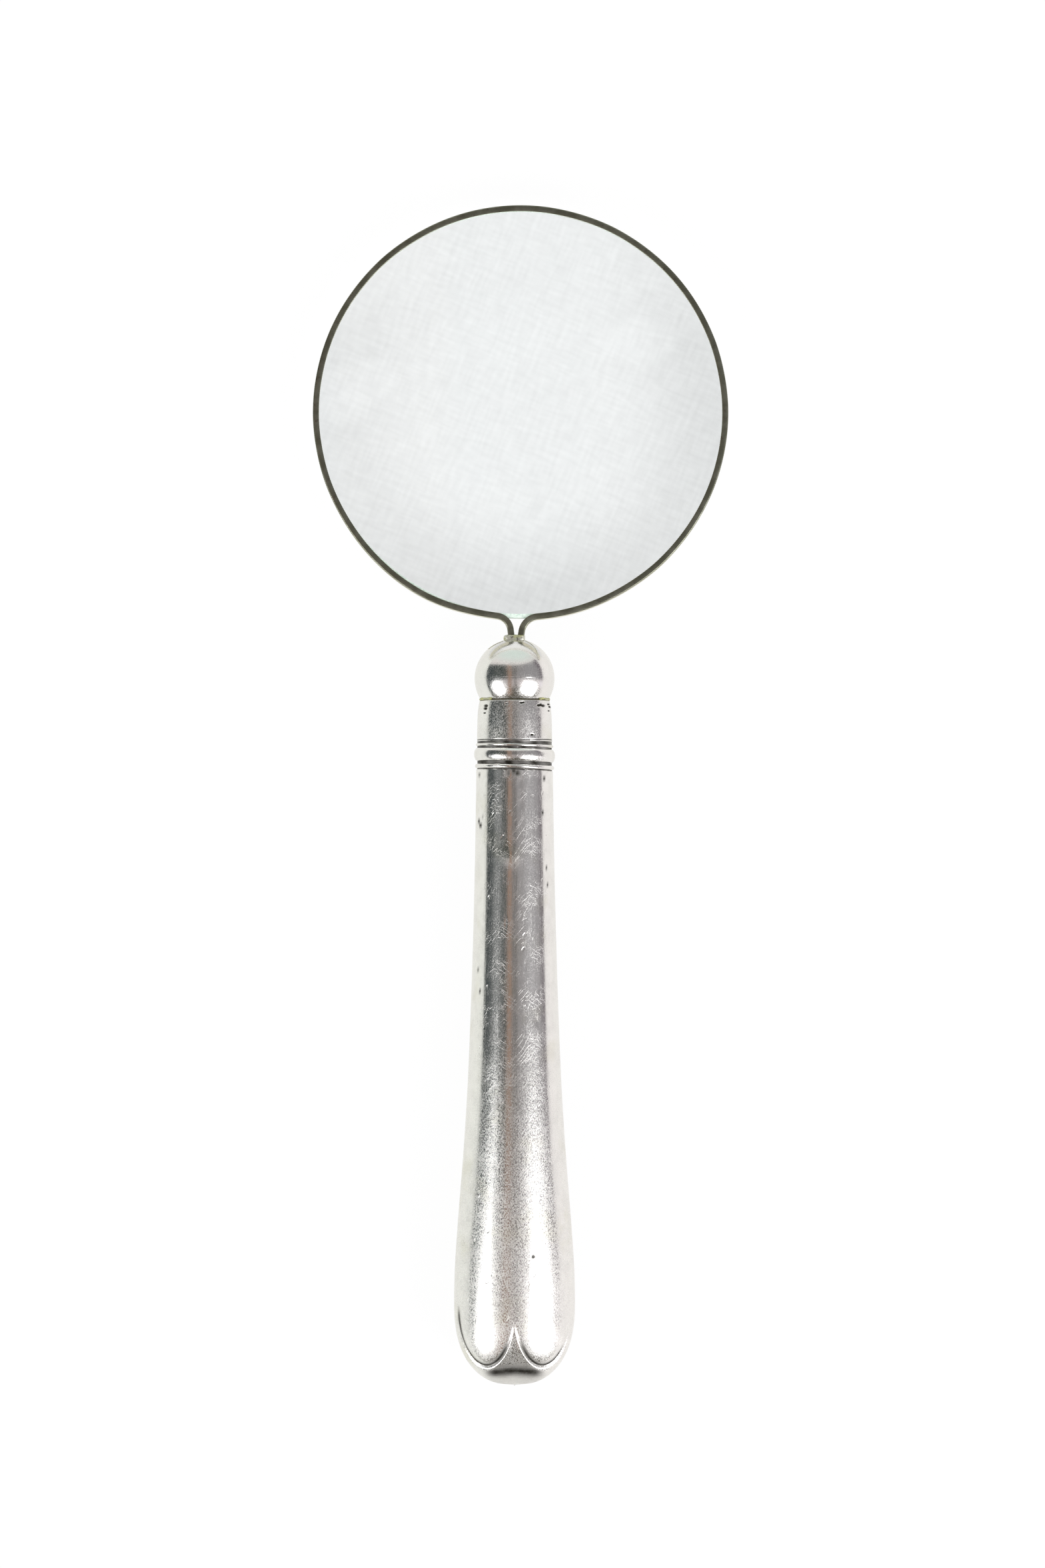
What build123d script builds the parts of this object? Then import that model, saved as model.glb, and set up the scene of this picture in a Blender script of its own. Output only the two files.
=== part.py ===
"""A reading glass with a hollow silver handle.

A round lens is held by one grooved strip. The two ends of the strip are bent together and
soldered into the head of a steel tang. The tang runs through a hollow ball and a short ferrule
into a handle of two stamped silver halves, and is set there in hard pitch.

Millimetres. The lens axis is +Z, the head points to +Y and the handle to -Y. The origin is the
middle of the bottom of the bounding box.
"""
from math import asin, cos, degrees, radians, sin
from build123d import *
import os

# ---- Lens and the strip round it
LENS_DIAMETER = 75.0
LENS_EDGE = 2.4               # thickness of the ground edge
LENS_SURFACE_RADIUS = 220.0   # both faces, which gives a focal length near 210
LENS_EDGE_BREAK = 0.15
LENS_CLEARANCE = 0.05         # lets the lens turn in its groove
STRIP_WALL = 0.35
STRIP_WIDTH = 1.0             # as seen from the front, lips and floor together
LIP_CLEARANCE = 0.16          # between the edge and each lip, where the faces swell
STRIP_CORNER = 0.25

# ---- The two ends of the strip, bent together to the tang
LEFT_BEND_RADIUS = 2.8
LEFT_FOOT_X = -4.3            # where the left end leaves the circle
LEFT_FOOT_SLOPE = 83.0
RIGHT_BEND_RADIUS = 3.2
RIGHT_FOOT_X = 3.1
RIGHT_FOOT_SLOPE = 81.0
FOOT_HALF_DEPTH = 1.5         # the ends are squeezed shut, so they are thinner than the groove
FOOT_LIFT = 0.125             # solder between the ends and the floor of the socket

# ---- Handle, along its own axis
TOTAL_LENGTH = 215.1
HANDLE_X = -1.1               # the handle stands a little to the left of the lens
BALL_RADIUS = 7.29
BALL_Y = 21.15
BALL_WALL = 0.5
FERRULE_TOP = 17.15
FERRULE_BEVEL = 1.6
FERRULE_TOP_RADIUS = 6.38
FERRULE_BEVEL_RADIUS = 6.74
FERRULE_FOOT_RADIUS = 6.87
FERRULE_BORE = 5.8
SPIGOT_RADIUS = 6.5
SPIGOT_LENGTH = 2.0
CAP_THICKNESS = 0.8
HANDLE_TOP = 9.85
SHELL_WALL = 0.45
MOUTH_RADIUS = 6.55           # inside of the handle's mouth
MOULDINGS = (                 # height of each ring and how far it stands out
    (1.20, 7.05),
    (2.65, 7.38),
    (1.50, 7.23),
)
GROOVE_RADIUS = 6.95
BODY_STATIONS = (             # y, half width, thickness over width
    (4.50, 7.00, 1.00),
    (-13.0, 7.29, 1.00),
    (-37.5, 7.96, 1.00),
    (-55.0, 8.70, 1.00),
    (-66.5, 9.45, 0.97),
    (-79.0, 10.43, 0.915),
    (-87.0, 10.92, 0.886),
    (-92.0, 11.02, 0.88),
)
BUTT_POWER = 2.6              # above 2 the end is squarer than an ellipse
BUTT_POINTS = 9

# ---- Steel tang
TANG_HEAD = (3.9, 3.9)
TANG_HEAD_CORNER = 0.7
TANG_HEAD_TOP = 28.91
TANG_HEAD_DEPTH = 1.3
TANG_RADIUS = 1.9
TANG_TIP_RADIUS = 1.2
TANG_TAPER_START = 0.0
TANG_TIP_Y = -70.0
SOCKET_DEPTH = 0.6
SOCKET_LEFT = -2.35
SOCKET_RIGHT = 0.55
SOCKET_HALF_DEPTH = 1.54
SOLDER_RISE = 0.45            # height of the solder in the corner under the ball

# ---- Worked out from the sizes above
BELLY_Y, BELLY_RADIUS, BELLY_RATIO = BODY_STATIONS[-1]
AXIS_Z = BELLY_RADIUS * BELLY_RATIO
LENS_RADIUS = LENS_DIAMETER / 2
LENS_SAG = LENS_SURFACE_RADIUS - (LENS_SURFACE_RADIUS**2 - LENS_RADIUS**2) ** 0.5
GROOVE_FLOOR = LENS_RADIUS + LENS_CLEARANCE
STRIP_OUTER = GROOVE_FLOOR + STRIP_WALL
STRIP_MIDDLE = STRIP_OUTER - STRIP_WIDTH / 2
GROOVE_HALF_DEPTH = LENS_EDGE / 2 + LIP_CLEARANCE
STRIP_HALF_DEPTH = GROOVE_HALF_DEPTH + STRIP_WALL
LENS_Y = TOTAL_LENGTH / 2 - STRIP_OUTER
BUTT_DEPTH = TOTAL_LENGTH / 2 + BELLY_Y
SOCKET_FLOOR = TANG_HEAD_TOP - SOCKET_DEPTH
LEFT_ANGLE = degrees(asin(-LEFT_FOOT_X / STRIP_MIDDLE))
RIGHT_ANGLE = degrees(asin(RIGHT_FOOT_X / STRIP_MIDDLE))

LENS_CENTRE = Vector(0, LENS_Y, AXIS_Z)
LENS_AXIS = Axis(LENS_CENTRE, (0, 0, 1))
HANDLE_AXIS = Axis((HANDLE_X, 0, AXIS_Z), (0, 1, 0))
PLAN = Plane.XY.offset(AXIS_Z)                 # the plane of the lens
HANDLE_PLAN = Plane((HANDLE_X, 0, AXIS_Z))     # the same plane, centred on the handle
LENS_SECTION = Plane(LENS_CENTRE, x_dir=(1, 0, 0), z_dir=(0, -1, 0))


def across(y):
    """Plane square to the handle at height y, with its normal towards the butt."""
    return Plane((HANDLE_X, y, AXIS_Z), x_dir=(1, 0, 0), z_dir=(0, -1, 0))


def export(part, name):
    """Label a finished piece and write its STEP file."""
    part.label = name
    export_step(part, f"parts/{name}.step")


def turned(*outline):
    """Solid turned about the handle's axis from a closed outline of (radius, y) points."""
    with BuildPart() as solid:
        with BuildSketch(HANDLE_PLAN):
            with BuildLine():
                Polyline(*outline, close=True)
            make_face()
        revolve(axis=HANDLE_AXIS)
    return solid.part


def ball(radius):
    """Ball on the handle's axis, cut flat where it sits on the ferrule."""
    seat_angle = asin((FERRULE_TOP - BALL_Y) / radius)
    middle = (seat_angle + radians(90)) / 2
    seat = (radius * cos(seat_angle), FERRULE_TOP)
    bulge = (radius * cos(middle), BALL_Y + radius * sin(middle))
    with BuildPart() as solid:
        with BuildSketch(HANDLE_PLAN):
            with BuildLine():
                ThreePointArc(seat, bulge, (0, BALL_Y + radius))
                Polyline((0, BALL_Y + radius), (0, FERRULE_TOP), seat)
            make_face()
        revolve(axis=HANDLE_AXIS)
    return solid.part


def handle_body(inset):
    """The long swelling body, inset from the outer surface by the given amount."""
    with BuildPart() as solid:
        for y, half_width, ratio in BODY_STATIONS:
            with BuildSketch(across(y)):
                Ellipse(half_width - inset, half_width * ratio - inset)
        loft()
    return solid.part


def butt_end(inset):
    """The rounded end, turned as a round dome and then flattened like the belly."""
    radius = BELLY_RADIUS - inset
    depth = BUTT_DEPTH - inset
    outline = []
    for step in range(BUTT_POINTS):
        turn = radians(90 * step / (BUTT_POINTS - 1))
        outline.append((radius * cos(turn), BELLY_Y - depth * sin(turn) ** (2 / BUTT_POWER)))
    with BuildPart() as dome:
        with BuildSketch(Plane.XY):
            with BuildLine():
                end = Spline(*outline, tangents=[(0, -1), (-1, 0)])
                Polyline(end @ 1, (0, BELLY_Y), end @ 0)
            make_face()
        revolve(axis=Axis.Y)
    ratio = (BELLY_RADIUS * BELLY_RATIO - inset) / radius
    return Pos(HANDLE_X, 0, AXIS_Z) * scale(dome.part, by=(1, 1, ratio))


os.makedirs("parts", exist_ok=True)

# ---- Lens: two shallow domes on a ground edge
with BuildPart() as lens:
    edge = LENS_EDGE / 2
    crown = edge + LENS_SAG
    half_angle = degrees(asin(LENS_RADIUS / LENS_SURFACE_RADIUS))
    with BuildSketch(LENS_SECTION) as lens_section:
        with BuildLine():
            top = CenterArc((0, crown - LENS_SURFACE_RADIUS), LENS_SURFACE_RADIUS, 90, -half_angle)
            Line(top @ 1, (LENS_RADIUS, -edge))
            bottom = CenterArc((0, LENS_SURFACE_RADIUS - crown), LENS_SURFACE_RADIUS, -90, half_angle)
            Line(bottom @ 0, top @ 0)
        make_face()
        chamfer(lens_section.vertices().group_by(Axis.X)[-1], LENS_EDGE_BREAK)
    revolve(axis=LENS_AXIS)
export(lens.part, "lens")

# ---- Rim strip: a grooved ring, with both ends bent out to the tang
with BuildPart() as rim_strip:
    right = Vector(sin(radians(RIGHT_ANGLE)), -cos(radians(RIGHT_ANGLE)), 0)
    end_section = Plane(LENS_CENTRE, x_dir=right, z_dir=(right.Y, -right.X, 0))
    with BuildSketch(end_section) as strip_section:
        with Locations((STRIP_MIDDLE, 0)):
            Rectangle(STRIP_WIDTH, 2 * STRIP_HALF_DEPTH)
        fillet(strip_section.vertices().group_by(Axis.X)[-1], STRIP_CORNER)
    revolve(axis=LENS_AXIS, revolution_arc=360 - LEFT_ANGLE - RIGHT_ANGLE)
    feet = (
        (-LEFT_ANGLE, 1, LEFT_BEND_RADIUS, LEFT_FOOT_SLOPE - LEFT_ANGLE),
        (RIGHT_ANGLE, -1, RIGHT_BEND_RADIUS, RIGHT_FOOT_SLOPE - RIGHT_ANGLE),
    )
    for angle, side, bend_radius, turn in feet:
        start = (STRIP_MIDDLE * sin(radians(angle)), LENS_Y - STRIP_MIDDLE * cos(radians(angle)))
        heading = (side * cos(radians(angle)), side * sin(radians(angle)))
        with BuildSketch(PLAN):
            with BuildLine() as centre_line:
                bend = JernArc(start, heading, bend_radius, -side * turn)
                drop = (bend @ 1).Y - SOCKET_FLOOR - FOOT_LIFT
                Line(bend @ 1, bend @ 1 + (bend % 1) * (drop / -(bend % 1).Y))
            trace(centre_line.line, line_width=STRIP_WIDTH)
        extrude(amount=FOOT_HALF_DEPTH, both=True)
    with BuildSketch(Plane(LENS_CENTRE)):
        Circle(GROOVE_FLOOR)
    extrude(amount=GROOVE_HALF_DEPTH, both=True, mode=Mode.SUBTRACT)
export(rim_strip.part, "rim_strip")

# ---- Leg solder: fills the socket round the two ends of the strip
socket_place = ((SOCKET_LEFT + SOCKET_RIGHT) / 2, SOCKET_FLOOR, AXIS_Z)
with BuildPart() as socket:
    with BuildSketch(Plane(socket_place, x_dir=(1, 0, 0), z_dir=(0, 1, 0))):
        Rectangle(SOCKET_RIGHT - SOCKET_LEFT, 2 * SOCKET_HALF_DEPTH)
    extrude(amount=SOCKET_DEPTH)
with BuildPart() as leg_solder:
    add(socket.part)
    add(rim_strip.part, mode=Mode.SUBTRACT)
export(leg_solder.part, "leg_solder")

# ---- Tang: a socketed head on a rod that tapers inside the handle
outer_ball = ball(BALL_RADIUS)
inner_ball = ball(BALL_RADIUS - BALL_WALL)
rod = turned(
    (0, TANG_HEAD_TOP),
    (TANG_RADIUS, TANG_HEAD_TOP),
    (TANG_RADIUS, TANG_TAPER_START),
    (TANG_TIP_RADIUS, TANG_TIP_Y),
    (0, TANG_TIP_Y),
)
with BuildPart() as tang:
    with BuildSketch(across(TANG_HEAD_TOP)):
        RectangleRounded(*TANG_HEAD, TANG_HEAD_CORNER)
    extrude(amount=TANG_HEAD_DEPTH)
    add(outer_ball, mode=Mode.SUBTRACT)
    add(rod)
    add(socket.part, mode=Mode.SUBTRACT)
export(tang.part, "tang")

# ---- Ball: two thin half shells, the upper one pierced for the tang
with BuildPart() as hollow_ball:
    add(outer_ball)
    add(inner_ball, mode=Mode.SUBTRACT)
    add(rod, mode=Mode.SUBTRACT)
with BuildPart() as ball_upper_shell:
    add(hollow_ball.part)
    split(bisect_by=across(BALL_Y), keep=Keep.BOTTOM)
export(ball_upper_shell.part, "ball_upper_shell")
with BuildPart() as ball_lower_shell:
    add(hollow_ball.part)
    split(bisect_by=across(BALL_Y), keep=Keep.TOP)
export(ball_lower_shell.part, "ball_lower_shell")

# ---- Ball solder: the ring of solder in the corner under the ball
solder_ring = turned(
    (FERRULE_BORE, FERRULE_TOP),
    (FERRULE_TOP_RADIUS, FERRULE_TOP),
    (FERRULE_TOP_RADIUS, FERRULE_TOP + SOLDER_RISE),
    (FERRULE_BORE, FERRULE_TOP + SOLDER_RISE),
)
with BuildPart() as ball_solder:
    add(solder_ring)
    add(outer_ball, mode=Mode.SUBTRACT)
export(ball_solder.part, "ball_solder")

# ---- Ferrule: a bevelled tube with a spigot into the handle's mouth
ferrule = turned(
    (FERRULE_BORE, FERRULE_TOP),
    (FERRULE_TOP_RADIUS, FERRULE_TOP),
    (FERRULE_BEVEL_RADIUS, FERRULE_TOP - FERRULE_BEVEL),
    (FERRULE_FOOT_RADIUS, HANDLE_TOP),
    (SPIGOT_RADIUS, HANDLE_TOP),
    (SPIGOT_RADIUS, HANDLE_TOP - SPIGOT_LENGTH),
    (FERRULE_BORE, HANDLE_TOP - SPIGOT_LENGTH),
)
export(ferrule, "ferrule")

# ---- Cap plate: closes the ferrule under the ball, round the tang
with BuildPart() as cap_plate:
    with BuildSketch(across(FERRULE_TOP)):
        Circle(FERRULE_BORE)
        Circle(TANG_RADIUS, mode=Mode.SUBTRACT)
    extrude(amount=CAP_THICKNESS)
export(cap_plate.part, "cap_plate")

# ---- Handle shells: two stamped halves that meet at the sides, mouldings and all
body_top = BODY_STATIONS[0][0]
outer_parts = [handle_body(0), butt_end(0)]
inner_parts = [handle_body(SHELL_WALL), butt_end(SHELL_WALL)]
mouth = ((0, HANDLE_TOP), (MOUTH_RADIUS, HANDLE_TOP), (MOUTH_RADIUS, body_top), (0, body_top))
inner_parts.append(turned(*mouth))
ring_top = HANDLE_TOP
for height, ring_radius in MOULDINGS:
    ring_foot = ring_top - height
    with BuildPart() as moulding:
        with BuildSketch(HANDLE_PLAN):
            with BuildLine():
                crest = (ring_radius, ring_top - height / 2)
                crown = ThreePointArc((GROOVE_RADIUS, ring_top), crest, (GROOVE_RADIUS, ring_foot))
                Polyline(crown @ 1, (0, ring_foot), (0, ring_top), crown @ 0)
            make_face()
        revolve(axis=HANDLE_AXIS)
    outer_parts.append(moulding.part)
    ring_top = ring_foot
with BuildPart() as handle_space:
    add(inner_parts)
with BuildPart() as handle_shell:
    add(outer_parts)
    add(handle_space.part, mode=Mode.SUBTRACT)
with BuildPart() as shell_front:
    add(handle_shell.part)
    split(bisect_by=PLAN, keep=Keep.TOP)
export(shell_front.part, "shell_front")
with BuildPart() as shell_back:
    add(handle_shell.part)
    split(bisect_by=PLAN, keep=Keep.BOTTOM)
export(shell_back.part, "shell_back")

# ---- Pitch filling: holds the tang inside the handle and the ferrule
cap_underside = FERRULE_TOP - CAP_THICKNESS
ferrule_space = turned(
    (0, cap_underside),
    (FERRULE_BORE, cap_underside),
    (FERRULE_BORE, body_top),
    (0, body_top),
)
with BuildPart() as pitch_filling:
    add(handle_space.part)
    add(ferrule_space)
    add(ferrule, mode=Mode.SUBTRACT)
    add(rod, mode=Mode.SUBTRACT)
export(pitch_filling.part, "pitch_filling")
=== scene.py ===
"""Looks for a reading glass: a round lens in a grooved strip on a worn, hollow silver handle.

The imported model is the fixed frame. Each sub-assembly's class builds its pieces round that frame and
dresses them with procedural finishes. Shapes are worked out in millimetres and written in metres, while
finishes and the studio are in metres.
"""
from __future__ import annotations

import logging
import math
from dataclasses import dataclass
from enum import Enum
from typing import Any, Callable, Sequence

import bpy
import numpy as np
from mathutils import Matrix, Vector

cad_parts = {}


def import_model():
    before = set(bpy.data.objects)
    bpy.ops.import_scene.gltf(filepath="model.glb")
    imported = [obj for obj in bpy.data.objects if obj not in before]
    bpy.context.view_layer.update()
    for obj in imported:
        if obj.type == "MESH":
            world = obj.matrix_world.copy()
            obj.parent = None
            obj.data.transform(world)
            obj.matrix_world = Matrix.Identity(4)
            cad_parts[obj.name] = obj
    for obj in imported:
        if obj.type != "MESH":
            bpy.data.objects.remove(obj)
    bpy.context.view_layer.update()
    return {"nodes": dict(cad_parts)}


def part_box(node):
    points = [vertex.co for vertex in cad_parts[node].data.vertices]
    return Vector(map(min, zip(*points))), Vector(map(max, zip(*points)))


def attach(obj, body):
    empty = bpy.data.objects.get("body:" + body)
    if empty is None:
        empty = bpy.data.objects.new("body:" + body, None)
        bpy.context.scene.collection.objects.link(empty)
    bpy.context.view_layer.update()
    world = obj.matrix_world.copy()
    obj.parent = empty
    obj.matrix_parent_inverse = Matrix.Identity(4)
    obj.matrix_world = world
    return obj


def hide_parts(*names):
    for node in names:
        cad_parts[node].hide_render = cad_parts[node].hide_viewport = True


LOG = logging.getLogger("reading_glass")
MM = 0.001
SHARP_ANGLE = 42.0
WAVES_IN_A_RIPPLE = 14
LEAST_RUN = 1e-9
Colour = tuple[float, float, float]
Relief = Callable[[np.ndarray], tuple[np.ndarray, np.ndarray]]


class Body(str, Enum):
    """The rigid bodies that a piece can ride on."""

    HANDLE = "handle"
    LENS = "lens"


# ---------------------------------------------------------------- node trees


class Wire:
    """One number of a node tree, which takes part in Python arithmetic."""

    def __init__(self, graph: "Graph", socket: bpy.types.NodeSocket) -> None:
        """Wraps one output socket of a graph."""
        self.graph = graph
        self.socket = socket

    def _math(self, operation: str, first: Any, second: Any = 0.0) -> "Wire":
        """Adds one Math node.

        Args:
            operation: The Math node's operation.
            first: Its first input, a wire or a number.
            second: Its second input, a wire or a number.

        Returns:
            The node's result.
        """
        node = self.graph.node("ShaderNodeMath", {"operation": operation}, {0: first, 1: second})
        return Wire(self.graph, node.outputs[0])

    def __add__(self, other: Any) -> "Wire":
        """This plus other."""
        return self._math("ADD", self, other)

    def __radd__(self, other: Any) -> "Wire":
        """Other plus this."""
        return self._math("ADD", other, self)

    def __sub__(self, other: Any) -> "Wire":
        """This minus other."""
        return self._math("SUBTRACT", self, other)

    def __rsub__(self, other: Any) -> "Wire":
        """Other minus this."""
        return self._math("SUBTRACT", other, self)

    def __mul__(self, other: Any) -> "Wire":
        """This times other."""
        return self._math("MULTIPLY", self, other)

    def __rmul__(self, other: Any) -> "Wire":
        """Other times this."""
        return self._math("MULTIPLY", other, self)

    def __truediv__(self, other: Any) -> "Wire":
        """This over other."""
        return self._math("DIVIDE", self, other)

    def __rtruediv__(self, other: Any) -> "Wire":
        """Other over this."""
        return self._math("DIVIDE", other, self)

    def __pow__(self, other: Any) -> "Wire":
        """This to the power other."""
        return self._math("POWER", self, other)

    def __abs__(self) -> "Wire":
        """This without its sign."""
        return self._math("ABSOLUTE", self)

    def at_most(self, other: Any) -> "Wire":
        """The smaller of this and other."""
        return self._math("MINIMUM", self, other)

    def at_least(self, other: Any) -> "Wire":
        """The larger of this and other."""
        return self._math("MAXIMUM", self, other)

    def rise(self, low: float, high: float) -> "Wire":
        """Goes smoothly from 0 to 1 while this goes from low to high.

        Args:
            low: Where the result is 0.
            high: Where the result is 1. It may be under low, and then the result falls.

        Returns:
            The smooth step.
        """
        inputs = {"Value": self, "From Min": low, "From Max": high, "To Min": 0.0, "To Max": 1.0}
        if low > high:
            inputs.update({"From Min": high, "From Max": low, "To Min": 1.0, "To Max": 0.0})
        node = self.graph.node("ShaderNodeMapRange", {"interpolation_type": "SMOOTHSTEP"}, inputs)
        return Wire(self.graph, node.outputs[0])


class Graph:
    """A node tree that is built by calls and expressions."""

    def __init__(self, tree: bpy.types.NodeTree) -> None:
        """Starts from an empty tree."""
        self.tree = tree
        tree.nodes.clear()

    def node(
        self, kind: str, settings: dict[str, Any] | None = None, inputs: dict[Any, Any] | None = None
    ) -> bpy.types.Node:
        """Adds any node.

        Args:
            kind: The node's type.
            settings: Its properties, which are set first.
            inputs: The values or links of its sockets, by name or place.

        Returns:
            The new node.
        """
        node = self.tree.nodes.new(kind)
        for name, value in (settings or {}).items():
            setattr(node, name, value)
        for name, value in (inputs or {}).items():
            self.feed(node.inputs[name], value)
        return node

    def feed(self, socket: bpy.types.NodeSocket, value: Any) -> None:
        """Links a wire or socket to a socket, or sets the socket's own value.

        Args:
            socket: The input socket.
            value: A wire, an output socket, a number, a colour or a vector.
        """
        if isinstance(value, Wire):
            self.tree.links.new(value.socket, socket)
        elif isinstance(value, bpy.types.NodeSocket):
            self.tree.links.new(value, socket)
        elif isinstance(value, tuple) and len(value) == 3 and socket.type == "RGBA":
            socket.default_value = (*value, 1.0)
        else:
            socket.default_value = value

    def object_place(self) -> bpy.types.NodeSocket:
        """The Object coordinates of the surface."""
        return self.node("ShaderNodeTexCoord").outputs["Object"]

    def turned_place(self, turn: Sequence[float], scale: Sequence[float]) -> bpy.types.NodeSocket:
        """Object coordinates turned and stretched for a directional pattern.

        Args:
            turn: Turn about each axis, in degrees.
            scale: Repeats per metre along each turned axis.

        Returns:
            The coordinates.
        """
        turned = self.node(
            "ShaderNodeMapping",
            {"vector_type": "POINT"},
            {"Vector": self.object_place(), "Rotation": [math.radians(a) for a in turn]},
        )
        stretched = self.node(
            "ShaderNodeVectorMath", {"operation": "MULTIPLY"}, {0: turned.outputs[0], 1: tuple(scale)}
        )
        return stretched.outputs[0]

    def noise(
        self, place: bpy.types.NodeSocket, scale: float, detail: float = 2.0, roughness: float = 0.5
    ) -> Wire:
        """Smooth noise from 0 to 1.

        Args:
            place: Where it is read.
            scale: Its repeats per unit of place.
            detail: How many finer layers it has.
            roughness: How strong the finer layers are.

        Returns:
            The noise.
        """
        inputs = {"Vector": place, "Scale": scale, "Detail": detail, "Roughness": roughness}
        node = self.node("ShaderNodeTexNoise", {"noise_dimensions": "3D"}, inputs)
        return Wire(self, node.outputs[0])

    def specks(self, place: bpy.types.NodeSocket, scale: float, size: float, share: float) -> Wire:
        """Small separate round specks.

        Args:
            place: Where they are read.
            scale: Cells per unit of place.
            size: Radius of the largest speck, in cells.
            share: The share of cells that hold one.

        Returns:
            1 inside a speck and 0 outside, with a soft edge.
        """
        cells = self.node("ShaderNodeTexVoronoi", {"feature": "F1"}, {"Vector": place, "Scale": scale})
        distance = Wire(self, cells.outputs["Distance"])
        lottery = self.node("ShaderNodeSeparateColor", None, {0: cells.outputs["Color"]})
        chosen = Wire(self, lottery.outputs[0]).rise(1.0 - share - 0.01, 1.0 - share + 0.01)
        radius = Wire(self, lottery.outputs[1]) * (0.7 * size) + 0.3 * size
        return (distance / radius).rise(1.0, 0.55) * chosen

    def hairlines(
        self, turn: Sequence[float], across: float, along: float, width: float, spread: float
    ) -> Wire:
        """Long fine scratches that follow one direction.

        Args:
            turn: Direction of the scratches, as turns about the axes in degrees.
            across: Repeats per metre across them.
            along: Repeats per metre along them.
            width: Share of the noise's range that one line takes.
            spread: Share of the surface that has them.

        Returns:
            1 in a scratch and 0 between them.
        """
        place = self.turned_place(turn, (across, along, across))
        line = abs(self.noise(place, 1.0, 1.0) - 0.5).rise(width, width * 0.3)
        patches = self.noise(self.object_place(), 260.0, 2.0).rise(0.62 - spread * 0.4, 0.72 - spread * 0.4)
        return line * patches

    def attribute(self, name: str) -> Wire:
        """A number stored on the piece's points."""
        return Wire(self, self.node("ShaderNodeAttribute", {"attribute_name": name}).outputs["Fac"])

    def mix(self, share: Any, first: Any, second: Any) -> bpy.types.NodeSocket:
        """Mixes two colours.

        Args:
            share: How much of the second shows.
            first: The colour at 0.
            second: The colour at 1.

        Returns:
            The mixed colour.
        """
        node = self.node("ShaderNodeMix", {"data_type": "RGBA"})
        self.feed(node.inputs[0], share)
        self.feed(node.inputs[6], first)
        self.feed(node.inputs[7], second)
        return node.outputs[2]

    def bump(self, height: Any, depth: float) -> bpy.types.NodeSocket:
        """Turns a height from 0 to 1 into a surface normal.

        Args:
            height: The height.
            depth: What a height of 1 stands for, in metres.

        Returns:
            The normal.
        """
        node = self.node("ShaderNodeBump", None, {"Height": height, "Distance": depth, "Strength": 1.0})
        return node.outputs[0]


def principled(name: str) -> tuple[bpy.types.Material, Graph, bpy.types.Node]:
    """Starts a material with one Principled shader.

    Args:
        name: The material's name.

    Returns:
        The material, its graph and the shader node.
    """
    material = bpy.data.materials.new(name)
    material.use_nodes = True
    graph = Graph(material.node_tree)
    shader = graph.node("ShaderNodeBsdfPrincipled")
    graph.node("ShaderNodeOutputMaterial", None, {"Surface": shader.outputs[0]})
    return material, graph, shader


# ---------------------------------------------------------------- finishes


@dataclass(frozen=True)
class Silver:
    """Polished sterling silver, worn by handling, darkened where the dirt-and-shade attribute says: by dirt
    and tarnishing, and in the butt's lobe groove also by painted shade.
    """

    name: str
    colour: Colour = (0.90, 0.885, 0.865)
    haze: Colour = (0.76, 0.745, 0.73)
    stain: Colour = (0.70, 0.68, 0.55)
    # The dark colour of dirt and tarnishing, which also stands for the painted shade in the butt's lobe
    # groove.
    tarnish_and_shade: Colour = (0.030, 0.027, 0.020)
    gloss: float = 0.08
    wear: float = 1.0
    scuffing: float = 0.12
    held_scuffing: float = 0.40
    held_from_to: tuple[float, float] = (-0.034, -0.085)
    relief_depth: float = 0.016 * MM

    def make(self) -> bpy.types.Material:
        """Builds the material.

        Returns:
            The material.
        """
        material, graph, shader = principled(self.name)
        place = graph.object_place()
        cloud = graph.noise(place, 420.0, 3.0, 0.6)
        stain = graph.noise(place, 120.0, 3.0, 0.55).rise(0.52, 0.72)
        grain = graph.noise(graph.turned_place((0, 0, 4), (4200.0, 1100.0, 4200.0)), 1.0, 2.0, 0.6)
        fine = graph.hairlines((0, 0, 3), 2600.0, 60.0, 0.030, 0.7)
        slanted = graph.hairlines((0, 0, 38), 1500.0, 90.0, 0.020, 0.4)
        crossing = graph.hairlines((0, 0, -57), 1700.0, 110.0, 0.016, 0.3)
        scratches = (fine * 0.5 + slanted + crossing).at_most(1.0)
        scuffs = graph.noise(graph.turned_place((0, 0, 3), (9000.0, 3200.0, 9000.0)), 1.0, 2.0, 0.6)
        scuffs = scuffs.rise(0.34, 0.70)
        along = Wire(graph, graph.node("ShaderNodeSeparateXYZ", None, {0: place}).outputs[1])
        held = along.rise(*self.held_from_to)
        pits = graph.specks(place, 420.0, 0.20, 0.05)
        nicks = graph.specks(graph.turned_place((0, 0, 30), (900.0, 380.0, 900.0)), 1.0, 0.26, 0.14)
        # The stored attribute holds dirt and, in the butt's lobe groove, painted shade; both mix the colour
        # towards the dark one.
        grime_and_shade = (graph.attribute("grime_and_shade") * (0.75 + cloud * 0.5) + pits * 0.8).at_most(1.0)
        dull = cloud.rise(0.35, 0.75) * 0.5 * self.wear
        colour = graph.mix(dull, self.colour, self.haze)
        colour = graph.mix(stain * 0.35 * self.wear, colour, self.stain)
        colour = graph.mix(scratches * 0.25 * self.wear, colour, self.haze)
        graph.feed(shader.inputs["Base Color"], graph.mix(grime_and_shade, colour, self.tarnish_and_shade))
        shader.inputs["Metallic"].default_value = 1.0
        roughness = self.gloss + cloud * 0.09 * self.wear + scratches * 0.12 * self.wear + grime_and_shade * 0.4
        roughness = roughness + scuffs * (self.scuffing + held * self.held_scuffing) * self.wear
        graph.feed(shader.inputs["Roughness"], roughness)
        height = grain * 0.12 + cloud * 0.3 - scratches * 0.25 - pits * 1.6 - nicks * 1.5
        graph.feed(shader.inputs["Normal"], graph.bump(height * self.wear, self.relief_depth))
        return material


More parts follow.
